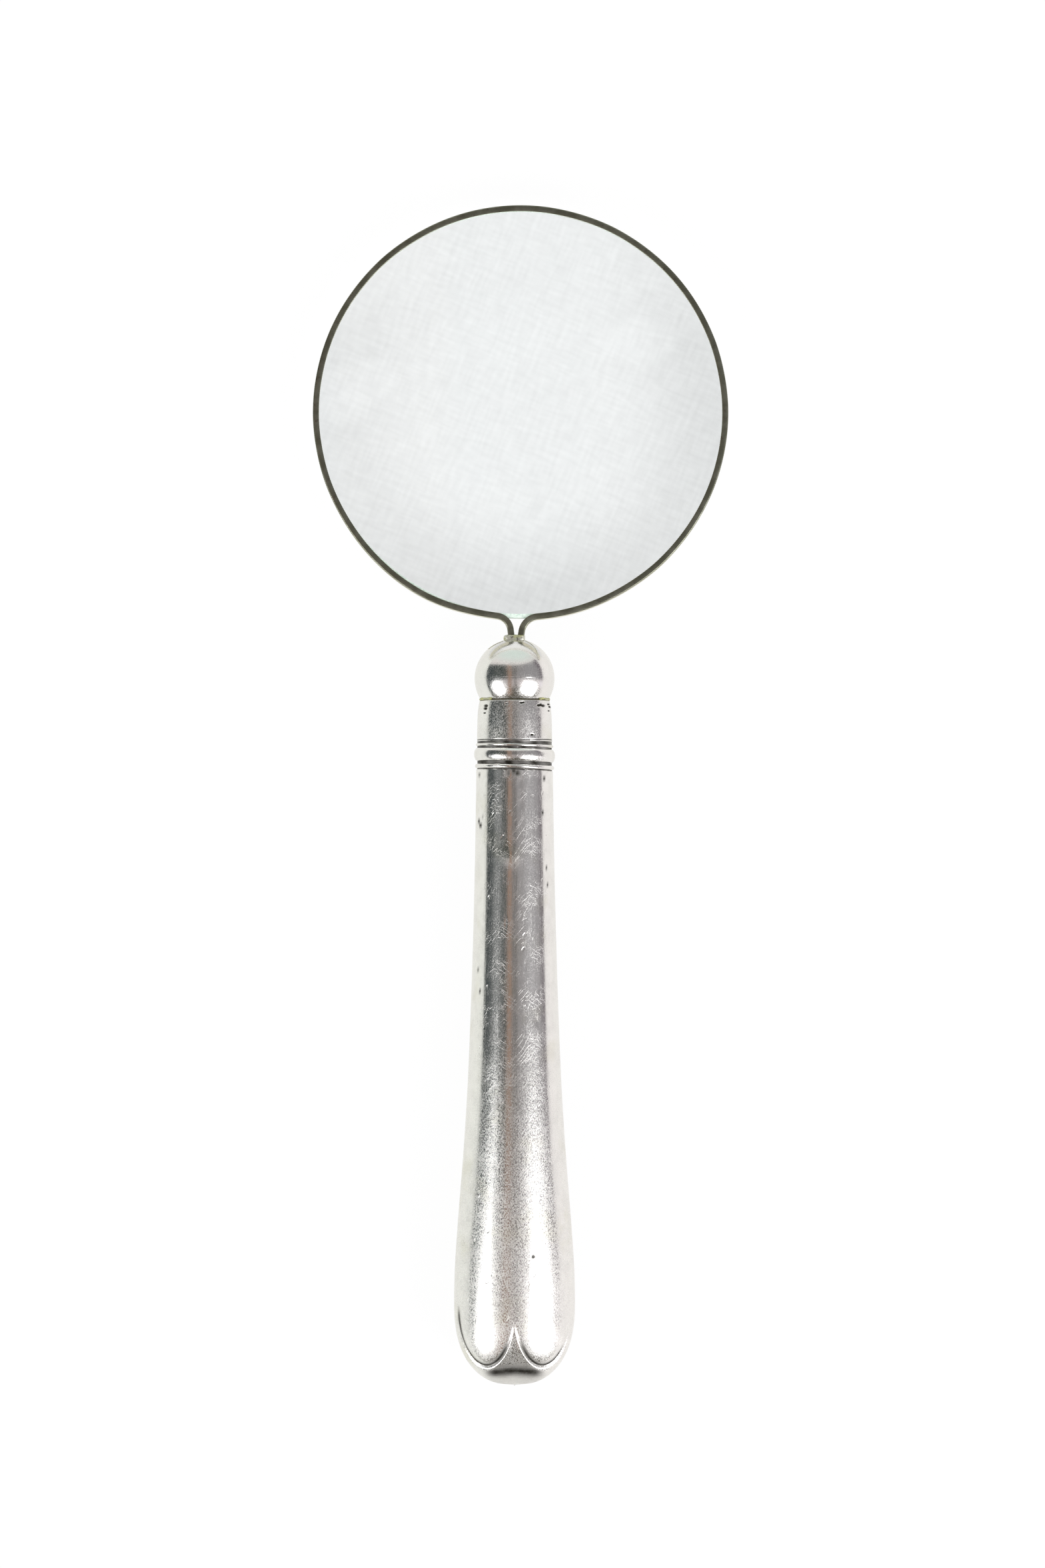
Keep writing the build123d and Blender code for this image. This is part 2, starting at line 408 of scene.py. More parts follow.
@dataclass(frozen=True)
class StripMetal:
    """Dull grey-brown nickel strip, rubbed paler here and there."""

    name: str
    colour: Colour = (0.250, 0.255, 0.205)
    dirt: Colour = (0.165, 0.168, 0.125)
    bright: Colour = (0.34, 0.33, 0.27)
    wall: Colour = (0.80, 0.78, 0.66)
    relief_depth: float = 0.02 * MM

    def make(self) -> bpy.types.Material:
        """Builds the material.

        Returns:
            The material.
        """
        material, graph, shader = principled(self.name)
        place = graph.object_place()
        patches = graph.noise(place, 320.0, 4.0, 0.65)
        fine = graph.noise(place, 3800.0, 3.0, 0.6)
        rubbed = graph.noise(place, 900.0, 2.0).rise(0.58, 0.72)
        wall = graph.attribute("wall")
        colour = graph.mix(patches.rise(0.35, 0.68), self.dirt, self.colour)
        colour = graph.mix(rubbed * 0.4, colour, self.bright)
        graph.feed(shader.inputs["Base Color"], graph.mix(wall * 0.85, colour, self.wall))
        graph.feed(shader.inputs["Metallic"], 0.92 + rubbed * 0.08)
        graph.feed(shader.inputs["Roughness"], 0.28 - rubbed * 0.08 + fine * 0.10 + wall * 0.2)
        graph.feed(shader.inputs["Normal"], graph.bump(fine * 0.5 + patches, self.relief_depth))
        return material


@dataclass(frozen=True)
class Solder:
    """Rough grey solder with a greenish, dirty bloom."""

    name: str
    colour: Colour = (0.70, 0.70, 0.62)
    bloom: Colour = (0.42, 0.42, 0.24)
    dirt: Colour = (0.10, 0.095, 0.06)
    relief_depth: float = 0.10 * MM

    def make(self) -> bpy.types.Material:
        """Builds the material.

        Returns:
            The material.
        """
        material, graph, shader = principled(self.name)
        place = graph.object_place()
        patches = graph.noise(place, 700.0, 4.0, 0.6)
        lumps = graph.noise(place, 2200.0, 3.0, 0.55)
        bloomed = patches.rise(0.45, 0.62)
        colour = graph.mix(bloomed, self.colour, self.bloom)
        hollows = lumps.rise(0.42, 0.30)
        graph.feed(shader.inputs["Base Color"], graph.mix(hollows * 0.8, colour, self.dirt))
        graph.feed(shader.inputs["Metallic"], 0.85 - bloomed * 0.5)
        graph.feed(shader.inputs["Roughness"], 0.34 + lumps * 0.22)
        graph.feed(shader.inputs["Normal"], graph.bump(lumps, self.relief_depth))
        return material


@dataclass(frozen=True)
class Glass:
    """Clear old crown glass with a trace of green, faint smears and hairline scratches."""

    name: str
    colour: Colour = (0.975, 0.985, 0.981)
    refraction: float = 1.52

    def make(self) -> bpy.types.Material:
        """Builds the material.

        Returns:
            The material.
        """
        material, graph, shader = principled(self.name)
        smears = graph.noise(graph.object_place(), 60.0, 3.0, 0.55).rise(0.60, 0.80)
        lines = graph.hairlines((0, 0, 25), 900.0, 40.0, 0.012, 0.3)
        graph.feed(shader.inputs["Base Color"], self.colour)
        shader.inputs["Transmission Weight"].default_value = 1.0
        shader.inputs["IOR"].default_value = self.refraction
        graph.feed(shader.inputs["Roughness"], smears * 0.012 + lines * 0.05)
        return material


@dataclass(frozen=True)
class GroundGlass:
    """The ground edge and bevel of the lens, which shows as a pale green line."""

    name: str
    colour: Colour = (0.80, 0.90, 0.83)
    deep: Colour = (0.52, 0.68, 0.58)
    clearness: float = 0.35
    refraction: float = 1.52
    relief_depth: float = 0.02 * MM

    def make(self) -> bpy.types.Material:
        """Builds the material.

        Returns:
            The material.
        """
        material, graph, shader = principled(self.name)
        grain = graph.noise(graph.object_place(), 2400.0, 3.0, 0.6)
        graph.feed(shader.inputs["Base Color"], graph.mix(grain.rise(0.4, 0.7), self.colour, self.deep))
        shader.inputs["Transmission Weight"].default_value = self.clearness
        shader.inputs["IOR"].default_value = self.refraction
        graph.feed(shader.inputs["Roughness"], 0.45 + grain * 0.2)
        graph.feed(shader.inputs["Normal"], graph.bump(grain, self.relief_depth))
        return material


@dataclass(frozen=True)
class Pitch:
    """Hard dark brown pitch, glossy where it has flowed."""

    name: str
    colour: Colour = (0.055, 0.034, 0.020)
    dust: Colour = (0.16, 0.11, 0.07)
    relief_depth: float = 0.2 * MM

    def make(self) -> bpy.types.Material:
        """Builds the material.

        Returns:
            The material.
        """
        material, graph, shader = principled(self.name)
        flow = graph.noise(graph.object_place(), 300.0, 4.0, 0.6)
        graph.feed(shader.inputs["Base Color"], graph.mix(flow.rise(0.5, 0.8), self.colour, self.dust))
        graph.feed(shader.inputs["Roughness"], 0.25 + flow * 0.4)
        graph.feed(shader.inputs["Normal"], graph.bump(flow, self.relief_depth))
        return material


# ---------------------------------------------------------------- shapes


def ripple(points: np.ndarray, wavelength: float, seed: int, stretch: float = 1.0) -> np.ndarray:
    """Smooth unevenness over a surface, within about 1 of zero, from a fixed set of plane waves.

    Args:
        points: Places in millimetres, with x, y and z last.
        wavelength: The usual distance from crest to crest, in millimetres.
        seed: Which unevenness.
        stretch: How many times longer the waves are along y.

    Returns:
        One height for each place.
    """
    draw = np.random.default_rng(seed)
    total = np.zeros(points.shape[:-1])
    for _ in range(WAVES_IN_A_RIPPLE):
        direction = draw.normal(size=3)
        direction *= 2 * math.pi / (wavelength * draw.uniform(0.7, 1.5) * np.linalg.norm(direction))
        direction[1] /= stretch
        total += np.sin(points @ direction + draw.uniform(0, 2 * math.pi))
    return total / math.sqrt(2 * WAVES_IN_A_RIPPLE)


def step(value: np.ndarray, low: float, high: float) -> np.ndarray:
    """A smooth step from 0 at low to 1 at high."""
    share = np.clip((value - low) / (high - low), 0.0, 1.0)
    return share * share * (3 - 2 * share)


def smooth_through(knots: Sequence[float], values: Sequence[float], at: np.ndarray) -> np.ndarray:
    """Reads a smooth curve that passes through given values and is level at its last one.

    Args:
        knots: Where the values are, rising.
        values: The values.
        at: Where the curve is read.

    Returns:
        The curve's values there.
    """
    x = np.asarray(knots, float)
    v = np.asarray(values, float)
    slope = np.gradient(v, x)
    slope[-1] = 0.0
    i = np.clip(np.searchsorted(x, at) - 1, 0, len(x) - 2)
    gap = x[i + 1] - x[i]
    t = (at - x[i]) / gap
    start = v[i] * (1 + 2 * t) * (1 - t) ** 2 + slope[i] * gap * t * (1 - t) ** 2
    return start + v[i + 1] * t * t * (3 - 2 * t) + slope[i + 1] * gap * t * t * (t - 1)


def grid_faces(rows: int, columns: int, around: bool, along: bool = False) -> list[tuple[int, ...]]:
    """Faces of a grid of points numbered row by row.

    Args:
        rows: Number of rows.
        columns: Number of points in a row.
        around: Whether each row closes on itself.
        along: Whether the last row joins the first.

    Returns:
        The faces, each of four points.
    """
    faces = []
    for r in range(rows if along else rows - 1):
        below = (r + 1) % rows
        for c in range(columns if around else columns - 1):
            beside = (c + 1) % columns
            row, next_row = r * columns, below * columns
            faces.append((row + c, row + beside, next_row + beside, next_row + c))
    return faces


@dataclass
class Shape:
    """Points in millimetres, faces seen anticlockwise from outside, and each point's dirt and painted
    shade.
    """

    points: np.ndarray
    faces: list[tuple[int, ...]]
    grime_and_shade: np.ndarray

    def joined(self, other: "Shape") -> "Shape":
        """This shape and another one as one shape.

        Args:
            other: The other shape.

        Returns:
            Both together, this one's points first.
        """
        shift = len(self.points)
        faces = self.faces + [tuple(i + shift for i in face) for face in other.faces]
        return Shape(np.vstack([self.points, other.points]), faces, np.append(self.grime_and_shade, other.grime_and_shade))

    def piece(self, name: str) -> bpy.types.Object:
        """Makes the object, in metres and at the origin.

        Args:
            name: The piece's name.

        Returns:
            The object.
        """
        mesh = bpy.data.meshes.new(name)
        mesh.from_pydata((self.points * MM).tolist(), [], self.faces)
        finish_mesh(mesh)
        attribute = mesh.attributes.new("grime_and_shade", "FLOAT", "POINT")
        attribute.data.foreach_set("value", self.grime_and_shade.astype(np.float32))
        return place_mesh(name, mesh)


def finish_mesh(mesh: bpy.types.Mesh) -> None:
    """Shades a mesh smoothly, with sharp edges where it turns a corner.

    Args:
        mesh: The mesh.
    """
    mesh.validate()
    mesh.polygons.foreach_set("use_smooth", [True] * len(mesh.polygons))
    mesh.set_sharp_from_angle(angle=math.radians(SHARP_ANGLE))
    mesh.update()


def place_mesh(name: str, mesh: bpy.types.Mesh) -> bpy.types.Object:
    """Puts a mesh in the scene as an object at the origin.

    Args:
        name: The object's name.
        mesh: Its mesh.

    Returns:
        The object.
    """
    made = bpy.data.objects.new(name, mesh)
    bpy.context.scene.collection.objects.link(made)
    return made


def turned(
    outline: Sequence[tuple[float, float]],
    place: Matrix,
    columns: int,
    relief: Relief | None = None,
    closed: bool = True,
) -> Shape:
    """Turns an outline about an axis and gives its surface some relief.

    Args:
        outline: Radius and height of each point, in millimetres, going down on the outside.
        place: Takes the axis, which starts as the y axis, to its place in millimetres.
        columns: Points round the solid.
        relief: Called with points near the y axis. It returns how far each moves outwards and its dirt.
        closed: Whether the outline closes on itself; otherwise its two ends lie on the axis.

    Returns:
        The shape.
    """
    ends = [(0.0, outline[0][1], 0.0), (0.0, outline[-1][1], 0.0)]
    radius, height = np.array(outline if closed else outline[1:-1], float).T
    angle = np.arange(columns) * 2 * math.pi / columns
    around = np.stack([np.cos(angle), np.zeros(columns), np.sin(angle)], axis=-1)
    points = radius[:, None, None] * around[None]
    points[..., 1] = height[:, None]
    grime_and_shade = np.zeros(points.shape[:-1])
    if relief is not None:
        if closed:
            turn_r = np.roll(radius, -1) - np.roll(radius, 1)
            turn_h = np.roll(height, -1) - np.roll(height, 1)
        else:
            turn_r, turn_h = np.gradient(radius), np.gradient(height)
        length = np.hypot(turn_r, turn_h) + LEAST_RUN
        outward = (-turn_h / length)[:, None, None] * around[None]
        outward[..., 1] = (turn_r / length)[:, None]
        rise, grime_and_shade = relief(points)
        points = points + outward * rise[..., None]
    rows = len(radius)
    faces = grid_faces(rows, columns, around=True, along=closed)
    flat, dirt = points.reshape(-1, 3), grime_and_shade.reshape(-1)
    if not closed:
        first, last, base = len(flat), len(flat) + 1, (rows - 1) * columns
        flat, dirt = np.vstack([flat, ends]), np.append(dirt, [dirt[0], dirt[-1]])
        for c in range(columns):
            beside = (c + 1) % columns
            faces.append((first, beside, c))
            faces.append((last, base + c, base + beside))
    turn = np.array(place)
    return Shape(flat @ turn[:3, :3].T + turn[:3, 3], faces, dirt)


def lump(centre: Vector, half: Sequence[float], power: float, roughness: float, seed: int) -> Shape:
    """A rounded block with an uneven surface, for solder and forged steel.

    Args:
        centre: Its middle, in millimetres.
        half: Half its size along x, y and z.
        power: 2 for an ellipsoid and more for a squarer block.
        roughness: How uneven it is, in millimetres.
        seed: Which unevenness.

    Returns:
        The shape.
    """
    rows, columns = 40, 96
    tilt = np.linspace(math.pi / 2, -math.pi / 2, rows + 2)[1:-1]
    angle = np.arange(columns) * 2 * math.pi / columns
    way = np.stack(
        [
            np.cos(tilt)[:, None] * np.cos(angle)[None],
            np.broadcast_to(np.sin(tilt)[:, None], (rows, columns)),
            np.cos(tilt)[:, None] * np.sin(angle)[None],
        ],
        axis=-1,
    ).reshape(-1, 3)
    way = np.vstack([way, [(0.0, 1.0, 0.0), (0.0, -1.0, 0.0)]])
    reach = (np.abs(way) ** power).sum(axis=1) ** (-1 / power)
    points = way * reach[:, None] * np.array(half)
    uneven = ripple(points, 0.9, seed) + 0.5 * ripple(points, 0.35, seed + 1)
    points += way * (roughness * uneven)[:, None]
    faces = grid_faces(rows, columns, around=True)
    first, last, base = rows * columns, rows * columns + 1, (rows - 1) * columns
    for c in range(columns):
        beside = (c + 1) % columns
        faces.append((first, beside, c))
        faces.append((last, base + c, base + beside))
    return Shape(points + np.array(centre), faces, np.zeros(len(points)))


def arc(middle: float, radius: float, start: float, end: float, count: int) -> list[tuple[float, float]]:
    """Points of an arc about a place on the axis.

    Args:
        middle: Height of its centre.
        radius: Its radius.
        start: First angle above the level, in degrees.
        end: Last angle.
        count: Number of points.

    Returns:
        Radius and height of each point.
    """
    turns = np.radians(np.linspace(start, end, count))
    return [(radius * math.cos(t), middle + radius * math.sin(t)) for t in turns]


def through(corners: Sequence[tuple[float, float]], spacing: float) -> list[tuple[float, float]]:
    """Points along straight runs between corners, every corner included.

    Args:
        corners: Radius and height of each corner.
        spacing: The greatest distance between points.

    Returns:
        The points, from the first corner to the last.
    """
    points = []
    for start, end in zip(corners, corners[1:]):
        count = max(1, math.ceil(math.dist(start, end) / spacing))
        for i in range(count):
            share = i / count
            points.append((start[0] + (end[0] - start[0]) * share, start[1] + (end[1] - start[1]) * share))
    return points + [corners[-1]]


# ---------------------------------------------------------------- sweeps


class Recipe(Graph):
    """A Geometry Nodes tree with named sizes that turns a path into a mesh."""

    def __init__(self, name: str) -> None:
        """Starts a tree whose input is a path of edges.

        Args:
            name: The tree's name.
        """
        super().__init__(bpy.data.node_groups.new(name, "GeometryNodeTree"))
        self.tree.interface.new_socket(name="Path", in_out="INPUT", socket_type="NodeSocketGeometry")
        self.tree.interface.new_socket(name="Mesh", in_out="OUTPUT", socket_type="NodeSocketGeometry")
        self.entry = self.node("NodeGroupInput")
        self.sizes: dict[str, str] = {}

    def size(self, name: str) -> Wire:
        """Adds a named number to the tree's inputs.

        Args:
            name: The input's name.

        Returns:
            The number, for use inside the tree.
        """
        made = self.tree.interface.new_socket(name=name, in_out="INPUT", socket_type="NodeSocketFloat")
        self.sizes[name] = made.identifier
        return Wire(self, next(s for s in self.entry.outputs if s.identifier == made.identifier))

    def curve(self) -> bpy.types.NodeSocket:
        """The path as a curve whose normals lie flat.

        Returns:
            The curve.
        """
        path = self.node("GeometryNodeMeshToCurve", None, {"Mesh": self.entry.outputs[0]})
        level = self.node("GeometryNodeSetCurveNormal", {"mode": "Z_UP"}, {"Curve": path.outputs[0]})
        return level.outputs[0]

    def triple(self, x: Any, y: Any, z: Any) -> bpy.types.NodeSocket:
        """Three numbers as one vector."""
        return self.node("ShaderNodeCombineXYZ", None, {0: x, 1: y, 2: z}).outputs[0]

    def close(self, mesh: bpy.types.NodeSocket, material: bpy.types.Material) -> None:
        """Ends the tree.

        Args:
            mesh: What the tree made.
            material: Its material.
        """
        real = self.node("GeometryNodeRealizeInstances", None, {"Geometry": mesh})
        inputs = {"Geometry": real.outputs[0], "Material": material}
        painted = self.node("GeometryNodeSetMaterial", None, inputs)
        self.node("NodeGroupOutput", None, {0: painted.outputs[0]})

    def follow(
        self, name: str, paths: Sequence[tuple[np.ndarray, bool]], values: dict[str, float]
    ) -> bpy.types.Object:
        """Runs the tree along some paths and keeps the result as a plain mesh.

        Args:
            name: The piece's name.
            paths: Points of each path, in millimetres, and whether it closes on itself.
            values: A value for each named size.

        Returns:
            The piece, in metres and at the origin.
        """
        points: list[list[float]] = []
        edges: list[tuple[int, int]] = []
        for path, closed in paths:
            first = len(points)
            points += path.tolist()
            edges += [(i, i + 1) for i in range(first, len(points) - 1)]
            if closed:
                edges.append((len(points) - 1, first))
        wire = bpy.data.meshes.new(f"{name}_path")
        wire.from_pydata(points, edges, [])
        guide = place_mesh(f"{name}_path", wire)
        modifier = guide.modifiers.new(name, "NODES")
        modifier.node_group = self.tree
        for label, value in values.items():
            modifier[self.sizes[label]] = value
        evaluated = guide.evaluated_get(bpy.context.evaluated_depsgraph_get())
        mesh = bpy.data.meshes.new_from_object(evaluated)
        guide.modifiers.remove(modifier)
        bpy.data.objects.remove(guide)
        mesh.name = name
        mesh.transform(Matrix.Scale(MM, 4))
        finish_mesh(mesh)
        return place_mesh(name, mesh)


def grooved_strip(material: bpy.types.Material) -> Recipe:
    """A tree for a strip with a groove on one side, which follows a flat path.

    Args:
        material: The strip's material.

    Returns:
        The tree.
    """
    recipe = Recipe("grooved strip")
    half_width = recipe.size("Strip Width") * 0.5
    half_depth = recipe.size("Half Depth")
    groove = recipe.size("Groove Half Depth")
    floor = half_width - recipe.size("Wall")
    corner = recipe.size("Corner")
    pinch_start, pinch_end = recipe.size("Pinch Start"), recipe.size("Pinch End")
    pinch, middle = recipe.size("Pinch"), recipe.size("Middle Height")
    spread = recipe.size("Foot Spread")
    outline = [
        (half_width, half_depth, corner),
        (half_width * -1.0, half_depth, corner * 0.5),
        (half_width * -1.0, groove, corner * 0.2),
        (floor, groove, 0.0),
        (floor, groove * -1.0, 0.0),
        (half_width * -1.0, groove * -1.0, corner * 0.2),
        (half_width * -1.0, half_depth * -1.0, corner * 0.5),
        (half_width, half_depth * -1.0, corner),
    ]
    index = recipe.node("GeometryNodeInputIndex").outputs[0]
    places = recipe.node("GeometryNodeIndexSwitch", {"data_type": "VECTOR"}, {"Index": index})
    rounding = recipe.node("GeometryNodeIndexSwitch", {"data_type": "FLOAT"}, {"Index": index})
    for switch in (places, rounding):
        while len(switch.index_switch_items) < len(outline):
            switch.index_switch_items.new()
    for i, (across, deep, radius) in enumerate(outline):
        recipe.feed(places.inputs[i + 1], recipe.triple(across, deep, 0.0))
        recipe.feed(rounding.inputs[i + 1], radius)
    ring = recipe.node("GeometryNodeCurvePrimitiveCircle", {"mode": "RADIUS"}, {"Resolution": len(outline)})
    shaped = recipe.node(
        "GeometryNodeSetPosition", None, {"Geometry": ring.outputs[0], "Position": places.outputs[0]}
    )
    fillet = recipe.node(
        "GeometryNodeFilletCurve",
        {"mode": "POLY"},
        {"Curve": shaped.outputs[0], "Radius": rounding.outputs[0], "Count": 4},
    )
    spot = recipe.node("GeometryNodeInputPosition").outputs[0]
    parts = recipe.node("ShaderNodeSeparateXYZ", None, {0: spot})
    x, y, z = (Wire(recipe, parts.outputs[i]) for i in range(3))
    squeeze = ((pinch_start - y) / (pinch_start - pinch_end)).at_least(0.0).at_most(1.0)
    swept = recipe.node(
        "GeometryNodeCurveToMesh",
        None,
        {
            "Curve": recipe.curve(),
            "Profile Curve": fillet.outputs[0],
            "Fill Caps": True,
            "Scale": 1.0 + squeeze * spread,
        },
    )
    squeezed = recipe.triple(x, y, middle + (z - middle) * (1.0 - squeeze * pinch))
    placed = recipe.node(
        "GeometryNodeSetPosition", None, {"Geometry": swept.outputs[0], "Position": squeezed}
    )
    normal = recipe.node("GeometryNodeInputNormal").outputs[0]
    facing = recipe.node("ShaderNodeSeparateXYZ", None, {0: normal})
    upright = abs(Wire(recipe, facing.outputs[2])).rise(0.60, 0.25)
    marked = recipe.node(
        "GeometryNodeStoreNamedAttribute",
        {"data_type": "FLOAT", "domain": "FACE"},
        {"Geometry": placed.outputs[0], "Name": "wall", "Value": upright},
    )
    recipe.close(marked.outputs[0], material)
    return recipe


def run_of_solder(material: bpy.types.Material) -> Recipe:
    """A tree for an uneven bead of solder that follows a path.

    Args:
        material: The solder.

    Returns:
        The tree.
    """
    recipe = Recipe("run of solder")
    bead, lumps, length = recipe.size("Bead Radius"), recipe.size("Lump Height"), recipe.size("Lump Length")
    round_ = recipe.node(
        "GeometryNodeCurvePrimitiveCircle", {"mode": "RADIUS"}, {"Resolution": 14, "Radius": bead}
    )
    swept = recipe.node(
        "GeometryNodeCurveToMesh",
        None,
        {"Curve": recipe.curve(), "Profile Curve": round_.outputs[0], "Fill Caps": True},
    )
    spot = recipe.node("GeometryNodeInputPosition").outputs[0]
    uneven = recipe.noise(spot, 1.0, 2.0)
    recipe.feed(uneven.socket.node.inputs["Scale"], 1.0 / length)
    normal = recipe.node("GeometryNodeInputNormal").outputs[0]
    offset = recipe.node(
        "ShaderNodeVectorMath", {"operation": "SCALE"}, {0: normal, "Scale": (uneven - 0.5) * 2.0 * lumps}
    )
    moved = recipe.node(
        "GeometryNodeSetPosition", None, {"Geometry": swept.outputs[0], "Offset": offset.outputs[0]}
    )
    recipe.close(moved.outputs[0], material)
    return recipe


# ---------------------------------------------------------------- sub-assemblies


@dataclass(frozen=True)
class Landmarks:
    """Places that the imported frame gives, in millimetres."""

    lens: Vector
    ring_radius: float
    axis_x: float
    axis_z: float
    tang_top: float
    tang_foot: float
    ball_y: float
    ball_radius: float
    seat_y: float
    mouth_y: float
    butt_y: float

    @classmethod
    def read(cls) -> "Landmarks":
        """Reads them from the boxes of the CAD nodes.

        Returns:
            The landmarks.
        """
        nodes = ("lens", "rim_strip", "tang", "ball_upper_shell", "ball_lower_shell", "shell_front")
        boxes = (tuple(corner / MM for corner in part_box(node)) for node in nodes)
        lens, rim, tang, upper, lower, front = boxes
        return cls(
            lens=(lens[0] + lens[1]) / 2,
            ring_radius=(rim[1].x - rim[0].x) / 2,
            axis_x=(upper[0].x + upper[1].x) / 2,
            axis_z=front[0].z,
            tang_top=tang[1].y,
            tang_foot=tang[0].y,
            ball_y=upper[0].y,
            ball_radius=(upper[1].x - upper[0].x) / 2,
            seat_y=lower[0].y,
            mouth_y=front[1].y,
            butt_y=front[0].y,
        )

    def on_axis(self) -> Matrix:
        """Takes the y axis to the handle's axis."""
        return Matrix.Translation((self.axis_x, 0.0, self.axis_z))


def settle(piece: bpy.types.Object, body: Body, slot: str, *nodes: str) -> None:
    """Gives a finished piece its body and hides the nodes that it stands for.

    Args:
        piece: The piece.
        body: The body that it rides on.
        slot: Not used.
        nodes: The CAD nodes that it replaces.
    """
    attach(piece, body.value)
    if nodes:
        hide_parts(*nodes)
    LOG.info("%s: %d faces on %s", piece.name, len(piece.data.polygons), body.value)


def dress(piece: bpy.types.Object, *materials: bpy.types.Material) -> None:
    """Puts materials in the slots of a piece or a CAD node.

    Args:
        piece: The piece or node.
        materials: Its materials, in the order of its slots.
    """
    piece.data.materials.clear()
    for material in materials:
        piece.data.materials.append(material)


@dataclass
class LensHead:
    """The lens, the grooved strip round it and the tang that holds the strip's two ends."""

    marks: Landmarks
    lens_radius: float = 37.5
    edge_half: float = 1.2
    surface_radius: float = 220.0
    edge_break: float = 0.15
    ground_band: float = 0.75
    strip_width: float = 1.12
    rim_shy: float = 0.008
    strip_half_depth: float = 1.71
    groove_half_depth: float = 1.36
    strip_wall: float = 0.35
    strip_corner: float = 0.25
    left_foot: tuple[float, float, float] = (-4.3, 2.8, 83.0)
    right_foot: tuple[float, float, float] = (3.1, 3.2, 81.0)
    foot_sink: float = 0.75
    ring_steps: int = 420
    swell_height: float = 0.30
    swell_turn: float = 0.42
    swell_spread: float = 0.30
    pinch: float = 0.24
    pinch_above_tang: tuple[float, float] = (3.6, 1.6)
    foot_spread: float = 0.06
    head_half: tuple[float, float, float] = (1.9, 0.62, 1.9)
    head_rise: float = 0.20
    rod_radius: float = 1.9
    rod_tip_radius: float = 1.2
    rod_tip_gap: float = 0.3
    run_radius: float = 0.06

    def build(self) -> None:
        """Makes and dresses every piece of the head."""
        solder = Solder("head_solder").make()
        self.build_lens()
        self.build_strip(StripMetal("strip_nickel").make())
        self.build_tang(solder)
        self.build_solder(solder)

    def build_lens(self) -> None:
        """Makes the biconvex lens, with its ground edge in its own slot."""
        bend, clear = self.surface_radius, self.lens_radius - self.ground_band
        sag = bend - math.sqrt(bend**2 - self.lens_radius**2)
        crown = self.edge_half + sag
        radii = [0.0, 0.5, *np.linspace(1.5, clear, 48).tolist()]
        radii += np.linspace(clear + 0.1, self.lens_radius - self.edge_break, 6).tolist()
        dome = [(r, crown - bend + math.sqrt(bend**2 - r * r)) for r in radii]
        outline = dome + [(self.lens_radius, self.edge_half - self.edge_break)]
        outline += [(r, -h) for r, h in reversed(outline)]
        upright = Matrix.Translation(self.marks.lens) @ Matrix.Rotation(math.radians(90), 4, "X")
        lens = turned(outline, upright, 320, closed=False).piece("lens_glass")
        dress(lens, Glass("lens_glass").make(), GroundGlass("lens_ground_edge").make())
        centre = self.marks.lens * MM
        for face in lens.data.polygons:
            if (face.center - centre).xy.length > clear * MM:
                face.material_index = 1
        lens.visible_shadow = False
        lens.visible_glossy = False
        settle(lens, Body.LENS, "lens_glass", "lens")

    def strip_path(self) -> np.ndarray:
        """The middle line of the strip, from one end round the lens to the other.

        Returns:
            The points of the line.
        """
        centre = self.marks.lens
        middle = self.marks.ring_radius - self.strip_width / 2 - self.rim_shy
        sink = self.marks.tang_top - self.foot_sink
        feet = []
        for (foot_x, bend, slope), side in ((self.left_foot, -1), (self.right_foot, 1)):
            start = math.asin(abs(foot_x) / middle)
            final = math.radians(slope)
            turn_x = side * (middle + bend) * math.sin(start)
            turn_y = centre.y - (middle + bend) * math.cos(start)
            foot = []
            for angle in np.linspace(start, final, 26):
                foot.append((turn_x - side * bend * math.sin(angle), turn_y + bend * math.cos(angle)))
            end_x, end_y = foot[-1]
            drop = end_y - sink
            for share in np.linspace(0.0, 1.0, 9)[1:]:
                run = share * drop
                foot.append((end_x - side * run / math.tan(final), end_y - run))
            feet.append((start, foot))
        (left_start, left), (right_start, right) = feet
        last = 1.5 * math.pi - left_start
        angles = np.linspace(-math.pi / 2 + right_start, last, self.ring_steps)[1:-1]
        swell_at = last - self.swell_turn
        swell = self.swell_height * np.exp(-(((angles - swell_at) / self.swell_spread) ** 2))
        swell = swell * step(last - angles, 0.0, 0.25)
        uneven = 0.03 * np.sin(5 * angles + 1.0) + 0.02 * np.sin(11 * angles)
        inside = -np.abs(uneven) * step(np.abs(np.cos(angles)) + np.abs(np.sin(angles)) - 1, 0.0, 0.2)
        radius = middle + swell + inside
        ring = np.stack([centre.x + radius * np.cos(angles), centre.y + radius * np.sin(angles)], axis=-1)
        flat = np.vstack([np.array(right[::-1]), ring, np.array(left)])
        return np.column_stack([flat, np.full(len(flat), centre.z)])

    def build_strip(self, metal: bpy.types.Material) -> None:
        """Sweeps the grooved strip round the lens and down to the tang.

        Args:
            metal: The strip's material.
        """
        values = {
            "Strip Width": self.strip_width,
            "Half Depth": self.strip_half_depth,
            "Groove Half Depth": self.groove_half_depth,
            "Wall": self.strip_wall,
            "Corner": self.strip_corner,
            "Pinch Start": self.marks.tang_top + self.pinch_above_tang[0],
            "Pinch End": self.marks.tang_top + self.pinch_above_tang[1],
            "Pinch": self.pinch,
            "Foot Spread": self.foot_spread,
            "Middle Height": self.marks.lens.z,
        }
        strip = grooved_strip(metal).follow("rim_channel", [(self.strip_path(), False)], values)
        settle(strip, Body.HANDLE, "rim_metal", "rim_strip")

